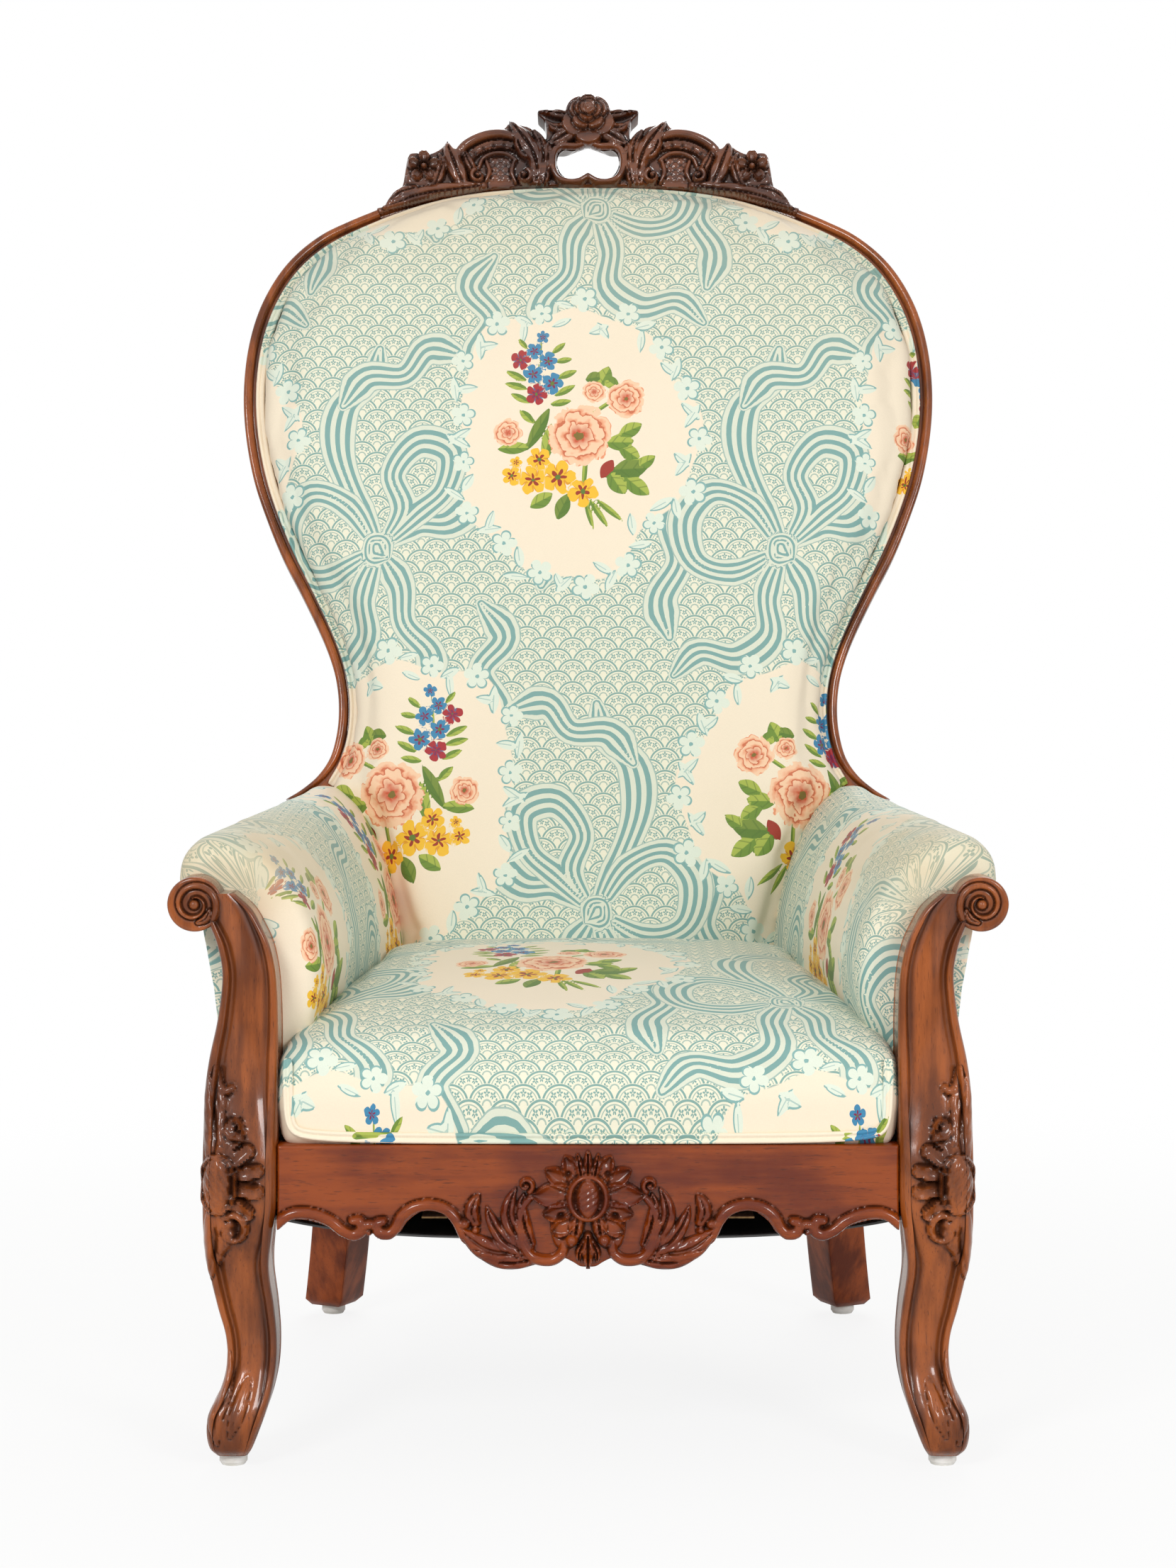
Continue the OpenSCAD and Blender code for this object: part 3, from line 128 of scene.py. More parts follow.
class Shade:
    """A material under construction, with the few kinds of node that the finishes use."""

    def __init__(self, name: str) -> None:
        """Start an empty material with a Principled shader.

        Args:
            name: The material's name.
        """
        self.material = bpy.data.materials.new(name)
        self.material.use_nodes = True
        self.tree = self.material.node_tree
        self.shader = self.tree.nodes["Principled BSDF"]

    def wire(self, socket: bpy.types.NodeSocket) -> Wire:
        """Wrap a socket as a number."""
        return Wire(self.tree, socket)

    def place(self) -> bpy.types.NodeSocket:
        """The point's place on the object."""
        return self.tree.nodes.new("ShaderNodeTexCoord").outputs["Object"]

    def layer(self, name: str) -> tuple[Wire, Wire, Wire]:
        """Read a three-number attribute that the piece carries.

        Args:
            name: The attribute's name.

        Returns:
            Its three numbers.
        """
        node = self.tree.nodes.new("ShaderNodeAttribute")
        node.attribute_name = name
        parts = self.tree.nodes.new("ShaderNodeSeparateXYZ")
        self.tree.links.new(node.outputs["Vector"], parts.inputs[0])
        return tuple(self.wire(out) for out in parts.outputs)

    def stretched(self, scale: Sequence[float]) -> bpy.types.NodeSocket:
        """Scale the object's own coordinates.

        Args:
            scale: The factors along X, Y and Z.

        Returns:
            The scaled place.
        """
        node = self.tree.nodes.new("ShaderNodeMapping")
        node.inputs["Scale"].default_value = scale
        self.tree.links.new(self.place(), node.inputs[0])
        return node.outputs[0]

    def noise(self, scale: float, detail: float = 3.0, at: bpy.types.NodeSocket | None = None,
              rough: float = 0.5) -> Wire:
        """Noise over the object, or over a place given.

        Args:
            scale: Repeats to a metre.
            detail: Octaves.
            at: The place to read, if not the object's own.
            rough: How strong the fine octaves are.

        Returns:
            A number from nought to one.
        """
        node = self.tree.nodes.new("ShaderNodeTexNoise")
        node.inputs["Scale"].default_value = scale
        node.inputs["Detail"].default_value = detail
        node.inputs["Roughness"].default_value = rough
        self.tree.links.new(at or self.place(), node.inputs["Vector"])
        return self.wire(node.outputs["Fac"])

    def join(self, x: Wire, y: Wire, z: Wire | float = 0.0) -> bpy.types.NodeSocket:
        """Three numbers as one place.

        Args:
            x: The place across.
            y: The place along.
            z: The place up.

        Returns:
            The place.
        """
        node = self.tree.nodes.new("ShaderNodeCombineXYZ")
        for slot, value in zip(node.inputs, (x, y, z)):
            if isinstance(value, Wire):
                self.tree.links.new(value.socket, slot)
            else:
                slot.default_value = value
        return node.outputs[0]

    def blend(self, share: Wire, first: "Sequence[float] | bpy.types.NodeSocket",
              second: "Sequence[float] | bpy.types.NodeSocket") -> bpy.types.NodeSocket:
        """Mix two colours.

        Args:
            share: How much of the second.
            first: A colour, or the socket of one.
            second: A colour, or the socket of one.

        Returns:
            The mixed colour.
        """
        node = self.tree.nodes.new("ShaderNodeMix")
        node.data_type = "RGBA"
        self.tree.links.new(share.socket, node.inputs[0])
        for slot, value in zip((node.inputs[6], node.inputs[7]), (first, second)):
            if isinstance(value, bpy.types.NodeSocket):
                self.tree.links.new(value, slot)
            else:
                slot.default_value = (*value, 1.0)
        return node.outputs[2]

    def finish(self, colour: bpy.types.NodeSocket, rough: Wire | float, height: Wire | None = None,
               depth: float = 0.0002, **settings: float) -> bpy.types.Material:
        """Connect colour, roughness and bump, and set the shader's own numbers.

        Args:
            colour: The base colour.
            rough: The roughness.
            height: What the bump follows.
            depth: The bump's depth in metres.
            settings: Other inputs of the shader, with underscores for spaces.

        Returns:
            The material.
        """
        self.tree.links.new(colour, self.shader.inputs["Base Color"])
        if isinstance(rough, Wire):
            self.tree.links.new(rough.socket, self.shader.inputs["Roughness"])
        else:
            self.shader.inputs["Roughness"].default_value = rough
        if height:
            bump = self.tree.nodes.new("ShaderNodeBump")
            bump.inputs["Distance"].default_value = depth
            bump.inputs["Strength"].default_value = 1.0
            self.tree.links.new(height.socket, bump.inputs["Height"])
            self.tree.links.new(bump.outputs[0], self.shader.inputs["Normal"])
        for name, value in settings.items():
            self.shader.inputs[name.replace("_", " ")].default_value = value
        return self.material


def tone(code: str) -> tuple[float, float, float]:
    """A screen colour as the shader's linear numbers.

    Args:
        code: Six hexadecimal digits.

    Returns:
        Red, green and blue.
    """
    parts = [int(code[i:i + 2], 16) / 255 for i in (0, 2, 4)]
    return tuple(p / 12.92 if p <= 0.04045 else ((p + 0.055) / 1.055) ** 2.4 for p in parts)


@dataclass(frozen=True)
class Timber:
    """Varnished walnut: streaked along its grain, with dark filler in its pores, and painted shade in its hollows
    where ambient occlusion finds them.
    """

    name: str
    light: str
    dark: str
    pore_fill_and_shade: str
    grain: tuple[float, float, float] = (60.0, 60.0, 5.0)
    rough: float = 0.3
    coat: float = 0.35
    pore_scale: float = 16.0
    hollow_reach: float = 0.010

    def material(self) -> bpy.types.Material:
        """Build the finish.

        Returns:
            The material.
        """
        shade = Shade(self.name)
        streaks = shade.noise(1.0, 5.0, shade.stretched(self.grain), 0.62)
        broad = shade.noise(12.0, 3.0)
        pores = shade.noise(1.0, 2.0, shade.stretched([g * self.pore_scale for g in self.grain]), 0.6)
        body = shade.blend((streaks * 0.55 + broad * 0.45).ramp(0.40, 0.60), tone(self.dark), tone(self.light))
        body = shade.blend(pores.ramp(0.56, 0.74) * 0.55, body, tone(self.pore_fill_and_shade))
        # painted shade: where the ambient occlusion node finds a hollow, the colour is darkened towards the
        # pore-fill colour; the same mask also makes the wood rougher
        cave = shade.tree.nodes.new("ShaderNodeAmbientOcclusion")
        cave.only_local = True
        cave.samples = 8
        cave.inputs["Distance"].default_value = self.hollow_reach
        occluded = shade.wire(cave.outputs["AO"]).ramp(0.45, 0.95).minus_from(1.0)
        body = shade.blend(occluded * 0.8, body, tone(self.pore_fill_and_shade))
        rough = streaks * -0.08 + occluded * 0.4 + (self.rough + 0.04)
        return shade.finish(body, rough, pores * -0.4 + streaks * 0.3, 0.0002, Coat_Weight=self.coat,
                            Coat_Roughness=0.07, Specular_IOR_Level=0.25)


@dataclass(frozen=True)
class Cloth:
    """Plain woven stuff: threads that cross, with a slub here and there."""

    name: str
    light: str
    dark: str
    threads: float = 700.0
    slub: float = 12.0
    rough: float = 0.9

    def material(self) -> bpy.types.Material:
        """Build the finish.

        Returns:
            The material.
        """
        shade = Shade(self.name)
        long = self.threads / self.slub
        warp = shade.noise(1.0, 1.0, shade.stretched((self.threads, self.threads, long)))
        weft = shade.noise(1.0, 1.0, shade.stretched((long, self.threads, self.threads)))
        weave = (warp + weft) * 0.5
        colour = shade.blend(weave.ramp(0.38, 0.62), tone(self.dark), tone(self.light))
        return shade.finish(colour, self.rough, weave, 0.0003, Sheen_Weight=0.15)


@dataclass(frozen=True)
class Metal:
    """Drawn or turned metal, dulled unevenly."""

    name: str
    light: str
    dark: str
    rough: float = 0.35
    metallic: float = 1.0

    def material(self) -> bpy.types.Material:
        """Build the finish.

        Returns:
            The material.
        """
        shade = Shade(self.name)
        patches = shade.noise(90.0, 4.0)
        colour = shade.blend(patches.ramp(0.35, 0.65), tone(self.dark), tone(self.light))
        return shade.finish(colour, patches * 0.2 + self.rough, patches, 0.00008, Metallic=self.metallic)


class Chintz:
    """Glazed cotton printed with bouquets in cream reserves, striped ribbons and a ground of scales."""

    def material(self) -> bpy.types.Material:
        """Build the finish from the print's layers, each drawn over the last.

        Returns:
            The material.
        """
        shade = Shade("chintz")
        across, up, _ = shade.layer("cloth")
        front, behind, lace = shade.layer("ribbon")
        leaf_tint, daisy_tint, wear_and_top_tint = shade.layer("tint")
        lines = self.scales(across, up)
        ground = shade.blend(lines, tone("efebd3"), tone("82a9a1"))
        colour = self.band(shade, self.band(shade, ground, behind), front)
        colour = shade.blend(lace.ramp(-0.8, 0.8), tone("f6e7ce"), colour)
        colour = self.pale(shade, colour, "frond", False)
        colour = self.pale(shade, colour, "spray", True)
        colour = self.leaf(shade, colour, leaf_tint)
        colour = self.daisy(shade, colour, daisy_tint)
        colour = self.rose(shade, colour)
        # darker and yellower cloth: handling wear on the arms' top fronts, and a darkening that grows towards the
        # top of the back
        tan_share = (shade.noise(16.0, 4.0).ramp(0.25, 0.7) * 0.6 + 0.4) * wear_and_top_tint
        colour = shade.blend(tan_share * 0.62, colour, tone("d3bd93"))
        thin, long = 2200.0, 500.0
        warp = shade.noise(1.0, 1.0, shade.join(across * thin, up * long))
        weft = shade.noise(1.0, 1.0, shade.join(across * long, up * thin))
        cloth = (warp + weft) * 0.5
        ease = shade.noise(14.0, 3.0)
        colour = shade.blend(cloth.ramp(0.3, 0.7) * 0.06, colour, tone("9b8f78"))
        return shade.finish(colour, cloth * 0.2 + 0.48, cloth * 0.12 + ease, 0.0012, Sheen_Weight=0.12,
                            Sheen_Roughness=0.4, Specular_IOR_Level=0.35)

    @staticmethod
    def scales(across: Wire, up: Wire) -> Wire:
        """Fish scales in rows, each with a sprig inside.

        Args:
            across: Metres along the weft.
            up: Metres along the warp.

        Returns:
            One on the printed lines.
        """
        pitch, rise, radius = 0.0285, 0.0105, 0.0148
        sprig_turn, sprig_gap, sprig_at = 0.66, 0.0062, 0.0078
        row = (up * (1 / rise)).math("FLOOR")
        drawn = None
        taken = None
        for back in (1, 0):
            line = row - float(back)
            shift = (line * 0.5).math("FRACT") * pitch
            x = ((across + shift) * (1 / pitch)).math("FRACT") * pitch - pitch / 2
            y = up - line * rise
            reach = (x * x + y * y).math("SQRT")
            inside = reach.under(radius)
            rim = reach.over(radius - 0.0020) * reach.under(radius - 0.0004)
            inner = reach.over(radius - 0.0041) * reach.under(radius - 0.0033)
            bend = x.math("ARCTAN2", y) * (1 / sprig_turn)
            side = ((bend + 0.5).math("FRACT") - 0.5) * sprig_gap
            stem = reach - sprig_at
            turn = side.math("ARCTAN2", stem)
            away = (side * side + stem * stem).math("SQRT")
            sprig = away.under((turn * 2.5).math("COSINE").math("ABSOLUTE") * 0.0024 + 0.0005) * away.over(0.0006)
            foot = reach.over(0.0028) * reach.under(0.0040)
            ink = (rim + inner * 0.7 + sprig + foot * 0.7).math("MINIMUM", 1.0) * inside
            if drawn is None:
                drawn, taken = ink, inside
            else:
                drawn = drawn + ink * taken.minus_from(1.0)
        return drawn

    def band(self, shade: Shade, colour: bpy.types.NodeSocket, lateral: Wire) -> bpy.types.NodeSocket:
        """A ribbon with three stripes, from the distance to its middle.

        Args:
            shade: The material.
            colour: What lies under it.
            lateral: Distance from the middle as a share of half its width.

        Returns:
            The colour with the ribbon over it.
        """
        stripes = lateral.under(0.13) + lateral.over(0.40) * lateral.under(0.68)
        cloth = shade.blend(stripes.math("MINIMUM", 1.0), tone("dfe3cf"), tone("7da8a3"))
        cloth = shade.blend(lateral.over(0.93) * 0.7, cloth, tone("7da8a3"))
        return shade.blend(lateral.under(1.0), colour, cloth)

    def pale(self, shade: Shade, colour: bpy.types.NodeSocket, name: str, blossom: bool) -> bpy.types.NodeSocket:
        """Blossoms or leaves of the garland, pale with a thin outline on one side.

        Args:
            shade: The material.
            colour: What lies under them.
            name: The layer that places them.
            blossom: Whether they have five petals.

        Returns:
            The colour with the garland over it.
        """
        x, y, reach = shade.layer(name)
        if blossom:
            turn = y.math("ARCTAN2", x)
            edge = (turn * 2.5).math("COSINE").math("ABSOLUTE").math("POWER", 0.5) * 0.5 + 0.5
            fill = reach.under(edge)
            outline = fill * reach.over(edge - 0.14) * y.under(0.25)
            heart = reach.under(0.16)
            mark = (outline + heart).math("MINIMUM", 1.0)
        else:
            fill = reach.under(1.0)
            outline = reach.over(0.72) * y.under(0.0) * fill
            mark = (outline + y.math("ABSOLUTE").under(0.1) * x.under(0.3) * fill * 0.6).math("MINIMUM", 1.0)
        body = shade.blend(mark, tone("e3ebda"), tone("86b2ae"))
        return shade.blend(fill, colour, body)

    def leaf(self, shade: Shade, colour: bpy.types.NodeSocket, tint: Wire) -> bpy.types.NodeSocket:
        """Leaves and stems, one half lighter than the other.

        Args:
            shade: The material.
            colour: What lies under them.
            tint: Nought for a fresh leaf, one for a dark one, two for a red one.

        Returns:
            The colour with the leaves over it.
        """
        x, y, reach = shade.layer("leaf")
        veins = (x * 9.0 + y.math("ABSOLUTE") * -5.0).math("SINE").over(0.86)
        body = shade.blend((y + x * 0.2).ramp(-0.06, 0.06), tone("6d8c33"), tone("a8b64c"))
        body = shade.blend(veins * 0.5, body, tone("4f6d29"))
        body = shade.blend(tint.over(0.5) * 0.65, body, tone("4c6e28"))
        body = shade.blend(tint.over(1.5), body, tone("a03427"))
        return shade.blend(reach.under(1.0), colour, body)

    def daisy(self, shade: Shade, colour: bpy.types.NodeSocket, tint: Wire) -> bpy.types.NodeSocket:
        """Five-petalled flowers, yellow, blue or crimson, with a dark heart.

        Args:
            shade: The material.
            colour: What lies under them.
            tint: Nought for yellow, one for blue, two for crimson.

        Returns:
            The colour with the flowers over it.
        """
        x, y, reach = shade.layer("daisy")
        turn = y.math("ARCTAN2", x) + (shade.noise(90.0, 1.0) - 0.5) * 1.2
        reach = reach + (shade.noise(140.0, 1.0) - 0.5) * 0.24
        lobe = (turn * 2.5).math("COSINE").math("ABSOLUTE")
        edge = lobe.math("POWER", 0.55) * 0.52 + 0.48
        star = reach.under(lobe.math("POWER", 2.0) * 0.34 + 0.15)
        petal = shade.blend(tint.over(0.5), tone("f5c02f"), tone("3a86ae"))
        petal = shade.blend(tint.over(1.5), petal, tone("a8262f"))
        shadow = shade.blend(tint.over(0.5), tone("d98a1c"), tone("2d6a96"))
        petal = shade.blend(lobe.under(0.35) * reach.over(0.35) * 0.7, petal, shadow)
        heart = shade.blend(tint.over(0.5), tone("9c3320"), tone("7b2450"))
        petal = shade.blend(star, petal, heart)
        petal = shade.blend(reach.under(0.15), petal, tone("5d7a2c"))
        return shade.blend(reach.under(edge), colour, petal)

    def rose(self, shade: Shade, colour: bpy.types.NodeSocket) -> bpy.types.NodeSocket:
        """Full roses: whorls of petals, pale at their rims and deep coral in their folds.

        Args:
            shade: The material.
            colour: What lies under them.

        Returns:
            The colour with the roses over it.
        """
        x, y, reach = shade.layer("rose")
        turn = y.math("ARCTAN2", x) + (shade.noise(70.0, 2.0) - 0.5) * 2.4
        reach = reach + (shade.noise(120.0, 2.0) - 0.5) * 0.34
        lobes = (turn * 3.0 + 0.7).math("SINE").math("ABSOLUTE")
        edge = lobes.math("POWER", 0.6) * 0.16 + 0.84
        whorl = (reach * 3.3 + (turn * 2.5 + reach * 5.0).math("SINE").math("ABSOLUTE") * -0.42).math("FRACT")
        fold = whorl.ramp(0.62, 0.10)
        petal = shade.blend(fold * 0.8, tone("f9cfaa"), tone("e8875a"))
        petal = shade.blend(fold.over(0.95) * reach.under(0.8) * 0.7, petal, tone("c25a38"))
        deep = reach.ramp(0.46, 0.12)
        petal = shade.blend(deep * 0.75, petal, tone("c8492c"))
        petal = shade.blend(reach.under(0.12), petal, tone("7d6a2c"))
        return shade.blend(reach.under(edge), colour, petal)


@dataclass(frozen=True)
class Bloom:
    """One flower or leaf of the print, placed about the middle of its bouquet, in millimetres."""

    x: float
    y: float
    size: float
    width: float = 0.0
    turn: float = 0.0
    tint: float = 0.0


def smooth_line(points: Sequence[Sequence[float]], steps: int) -> Grid:
    """Curve through a list of points.

    Args:
        points: The points, each with as many numbers as is liked.
        steps: Parts between two points.

    Returns:
        The points of the curve.
    """
    p = np.array(points, float)
    p = np.vstack([2 * p[0] - p[1], p, 2 * p[-1] - p[-2]])
    t = np.arange(steps)[:, None] / steps
    rows = []
    for a, b, c, d in zip(p[:-3], p[1:-2], p[2:-1], p[3:]):
        rows.append(0.5 * (2 * b + (c - a) * t + (2 * a - 5 * b + 4 * c - d) * t ** 2
                           + (3 * b - a - 3 * c + d) * t ** 3))
    return np.vstack([*rows, p[-2:-1]])


@dataclass
class Print:
    """Where each motif falls on the cloth. Columns stand half a repeat up and mirrored from the last."""

    column: float = 190.0
    repeat: float = 686.0
    bouquet: Pair = (-14.0, 609.0)
    knot: Pair = (6.0, 840.0)
    reserve_r: float = 112.0
    reserve_tall: float = 1.18
    reserve_sink: float = 4.0
    roses: tuple[Bloom, ...] = (Bloom(6, 0, 31), Bloom(50, 36, 19, turn=1.0), Bloom(20, 43, 11, turn=2.0),
                                Bloom(-62, 2, 14, turn=0.5))
    daisies: tuple[Bloom, ...] = (
        Bloom(-14, -41, 17), Bloom(9, -55, 15, turn=1.0), Bloom(-38, -44, 15, turn=0.4),
        Bloom(-32, -24, 12, turn=0.9), Bloom(-58, -40, 10), Bloom(-54, -27, 6, turn=0.2),
        Bloom(-35, 40, 11, tint=2), Bloom(-20, 51, 11, tint=1), Bloom(-38, 60, 10, tint=1, turn=0.6),
        Bloom(-50, 74, 10, tint=2, turn=0.2), Bloom(-24, 73, 9.5, tint=1), Bloom(-37, 83, 8.5, tint=1, turn=0.9),
        Bloom(-29, 97, 6.5, tint=1, turn=0.3))
    leaves: tuple[Bloom, ...] = (
        Bloom(44, -7, 14, 8, 0.1), Bloom(54, 5, 13, 7, 0.5), Bloom(53, -17, 12, 7, -0.5),
        Bloom(54, -33, 18, 10, 0.15, 1), Bloom(41, -47, 14, 8, -0.9), Bloom(60, -50, 15, 8, -0.6),
        Bloom(32, -33, 11, 6, 1.0, 2), Bloom(68, -27, 12, 6, 0.6),
        Bloom(-56, -13, 16, 6, 0.1), Bloom(-33, 6, 24, 6, 1.1, 1), Bloom(-24, -8, 20, 6, 1.4),
        Bloom(-10, -70, 14, 7, 1.2, 1), Bloom(-30, -64, 13, 7, 0.6), Bloom(30, 58, 11, 7, 1.2),
        Bloom(20, 57, 9, 6, 0.3, 1), Bloom(36, 52, 9, 6, 2.6), Bloom(28, 28, 24, 2.0, 0.6),
        Bloom(24, -76, 19, 3, -1.0), Bloom(34, -73, 19, 3, -0.7), Bloom(15, -77, 17, 2.6, -1.3),
        Bloom(11, -34, 28, 2.4, 1.5), Bloom(-32, 70, 34, 1.2, 1.5), Bloom(-8, 44, 12, 3.5, 0.5),
        Bloom(-6, 60, 11, 3.5, 0.4), Bloom(-54, 58, 12, 3.5, 2.7), Bloom(-54, 48, 12, 3.5, 2.9),
        Bloom(-50, 36, 11, 3.5, 2.7), Bloom(-12, 32, 11, 3.5, 0.2), Bloom(-14, 86, 9, 3, 0.7),
        Bloom(-48, 90, 8, 2.6, 2.3), Bloom(-9, 74, 9, 3, 0.2), Bloom(-44, 18, 10, 4, 2.4))
    ribbons: tuple[tuple[int, float, tuple[Pair, ...]], ...] = (
        (1, 18, ((0, 4), (-34, 24), (-66, 26), (-92, 52), (-110, 88), (-96, 118))),
        (1, 18, ((2, 8), (22, 46), (40, 96), (36, 138), (10, 164), (2, 196))),
        (1, 17, ((-2, -4), (-20, -34), (-24, -70), (-48, -98), (-50, -126))),
        (1, 19, ((88, 62), (104, 26), (98, -12), (116, -48), (108, -84))),
        (0, 17, ((-4, 6), (-22, 40), (-12, 74), (-36, 104), (-66, 94), (-60, 58), (-34, 34), (-6, 6))),
        (0, 17, ((4, 4), (30, 42), (66, 56), (92, 30), (84, -10), (48, -22), (6, -2))),
        (0, 18, ((36, 140), (14, 168), (-22, 170), (-44, 196), (-78, 190))),
        (0, 18, ((3, -6), (16, -44), (14, -82), (44, -104), (80, -98), (104, -120))),
        (0, 19, ((-112, 92), (-142, 70), (-134, 36), (-160, 4), (-152, -34))),
        (1, 18, ((-44, -148), (-20, -128), (6, -142), (18, -176), (46, -190), (66, -168))),
        (0, 18, ((-96, -52), (-118, -84), (-96, -116), (-112, -152), (-88, -176))),
        (0, 9, ((-8, -8), (-3, 8), (8, 8), (8, -6), (-6, -8))))

    def local(self, u: Grid, v: Grid, at: Pair) -> tuple[Grid, Grid, Grid]:
        """Measure points of the cloth from the nearest place where a motif repeats.

        Args:
            u: Millimetres along the weft.
            v: Millimetres along the warp.
            at: One place of the motif.

        Returns:
            The offsets across and up, mirrored in every second column, and how far off the place is.
        """
        best = None
        for side in (-1, 0, 1):
            k = np.round((u - at[0]) / self.column) + side
            flip = np.where(k % 2 == 0, 1.0, -1.0)
            lift = at[1] + (k % 2) * self.repeat / 2
            dx = (u - k * self.column) * flip - at[0]
            dy = v - lift - np.round((v - lift) / self.repeat) * self.repeat
            away = np.hypot(dx, dy * 0.8)
            if best is None:
                best = [dx, dy, away]
            else:
                nearer = away < best[2]
                best = [np.where(nearer, new, old) for new, old in zip((dx, dy, away), best)]
        return best[0], best[1], best[2]

    @staticmethod
    def discs(x: Grid, y: Grid, blooms: Sequence[Bloom], lens: bool) -> tuple[Grid, Grid]:
        """Each point's place on the flower or leaf that it is nearest to.

        Args:
            x: Offsets across.
            y: Offsets up.
            blooms: The flowers or leaves.
            lens: Whether they are leaves, with a length and a width.

        Returns:
            Three numbers to a point, across, along and how far out, and the tint.
        """
        best = np.full((len(x), 3), 9.0)
        tint = np.zeros(len(x))
        for b in blooms:
            c, s = math.cos(b.turn), math.sin(b.turn)
            p, q = (x - b.x) * c + (y - b.y) * s, (y - b.y) * c - (x - b.x) * s
            if lens:
                p, q = p / b.size, q / b.width
                away = np.abs(q) + p ** 2
            else:
                p, q = p / b.size, q / b.size
                away = np.hypot(p, q)
            nearer = away < best[:, 2]
            best[nearer] = np.column_stack([p, q, away])[nearer]
            tint[nearer] = b.tint
        return best, tint

    def strips(self, u: Grid, v: Grid) -> tuple[Grid, Grid]:
        """How far each point is from the middle of the ribbons.

        Args:
            u: Millimetres along the weft.
            v: Millimetres along the warp.

        Returns:
            The distance in half widths, for the ribbons in front and for those behind.
        """
        lines = []
        for level, half, points in self.ribbons:
            path = smooth_line(points, 6)
            share = np.linspace(0, 1, len(path))
            ends = np.clip(np.minimum(share * 6, (1.0 - share) * 6), 0, 1)
            twists = max(1, len(points) // 3)
            width = half * (0.3 + 0.7 * ends) * (0.86 + 0.14 * np.cos(share * 2 * math.pi * twists))
            lines.append((level, path, width))
        out = [np.full(len(u), 9.0), np.full(len(u), 9.0)]
        for side in (-2, -1, 0, 1, 2):
            k = np.round((u - self.knot[0]) / self.column) + side
            flip = np.where(k % 2 == 0, 1.0, -1.0)
            x = (u - k * self.column) * flip - self.knot[0]
            lift = self.knot[1] + (k % 2) * self.repeat / 2
            y = v - lift - np.round((v - lift) / self.repeat) * self.repeat
            for level, path, width in lines:
                low, high = path.min(0) - 25, path.max(0) + 25
                near = np.flatnonzero((x > low[0]) & (x < high[0]) & (y > low[1]) & (y < high[1]))
                if len(near) == 0:
                    continue
                a, b = path[:-1], path[1:]
                d = b - a
                px, py = x[near, None] - a[:, 0], y[near, None] - a[:, 1]
                t = np.clip((px * d[:, 0] + py * d[:, 1]) / (d ** 2).sum(1), 0, 1)
                gap = np.hypot(px - t * d[:, 0], py - t * d[:, 1]) / (width[:-1] + t * (width[1:] - width[:-1]))
                gap = gap.min(1)
                kept = out[level][near]
                out[level][near] = np.where(gap < 1.06, gap, np.minimum(kept, gap))
        return out[0], out[1]

    def garland(self) -> tuple[tuple[Bloom, ...], tuple[Bloom, ...]]:
        """Blossoms and leaves round the edge of a reserve.

        Returns:
            The blossoms and the leaves.
        """
        rng = np.random.default_rng(SEED)
        blossoms, fronds = [], []
        count = 17
        for i in range(count):
            a = 2 * math.pi * i / count
            r = self.reserve(np.array([a]))[0] + rng.uniform(-4, 10)
            x, y = r * math.cos(a), r * self.reserve_tall * math.sin(a) - self.reserve_sink
            blossoms.append(Bloom(x, y, rng.uniform(10, 15), turn=rng.uniform(0, 6)))
            for side in (-1, 1):
                b = a + side * math.pi / count * 0.9
                q = self.reserve(np.array([b]))[0] + rng.uniform(-12, 12)
                x, y = q * math.cos(b), q * self.reserve_tall * math.sin(b) - self.reserve_sink
                fronds.append(Bloom(x, y, rng.uniform(10, 15), rng.uniform(3.5, 5),
                                    b + side * rng.uniform(0.5, 1.4)))
        return tuple(blossoms), tuple(fronds)

    def reserve(self, turn: Grid) -> Grid:
        """How far a reserve's edge is from its middle.

        Args:
            turn: Directions in radians.

        Returns:
            Millimetres across.
        """
        return self.reserve_r + 6 * np.sin(3 * turn + 1) + 5 * np.sin(5 * turn + 2) + 4 * np.sin(9 * turn)

    @staticmethod
    def wear_and_top_tint(p: Grid) -> Grid:
        """How far points of the cloth are turned darker and yellower: most on the arms' top fronts, where they are
        handled, and less towards the top of the back.

        Args:
            p: The points in metres.

        Returns:
            Nought for cloth left as printed, one for the most changed.
        """
        top = np.clip((p[:, 2] - 0.395) / 0.05, 0, 1) * np.clip((np.abs(p[:, 0]) - 0.20) / 0.05, 0, 1)
        front = np.clip((-0.02 - p[:, 1]) / 0.14, 0, 1)
        head = np.clip((p[:, 2] - 0.85) / 0.25, 0, 1)
        return np.maximum(top * front, head * 0.4)

    def lay(self, obj: bpy.types.Object, cloth: Callable[[Grid], Grid]) -> None:
        """Store the print's layers on a piece.

        Args:
            obj: The piece.
            cloth: Gives the place on the cloth, in millimetres, of points in metres.
        """
        points = coords(obj.data)
        u, v = cloth(points).T
        x, y, _ = self.local(u, v, self.bouquet)
        rose, _ = self.discs(x, y, self.roses, False)
        daisy, daisy_tint = self.discs(x, y, self.daisies, False)
        leaf, leaf_tint = self.discs(x, y, self.leaves, True)
        blossoms, fronds = self.garland()
        spray, _ = self.discs(x, y, blossoms, False)
        frond, _ = self.discs(x, y, fronds, True)
        front, behind = self.strips(u, v)
        level = (y + self.reserve_sink) / self.reserve_tall
        lace = np.hypot(x, level) - self.reserve(np.arctan2(level, x))
        layers = {"cloth": np.column_stack([u * MM, v * MM, np.zeros(len(u))]),
                  "ribbon": np.column_stack([front, behind, lace]),
                  "rose": rose, "daisy": daisy, "leaf": leaf, "spray": spray, "frond": frond,
                  "tint": np.column_stack([leaf_tint, daisy_tint, self.wear_and_top_tint(points)])}
        for name, values in layers.items():
            layer = obj.data.attributes.new(name, "FLOAT_VECTOR", "POINT")
            layer.data.foreach_set("vector", values.astype(np.float32).ravel())


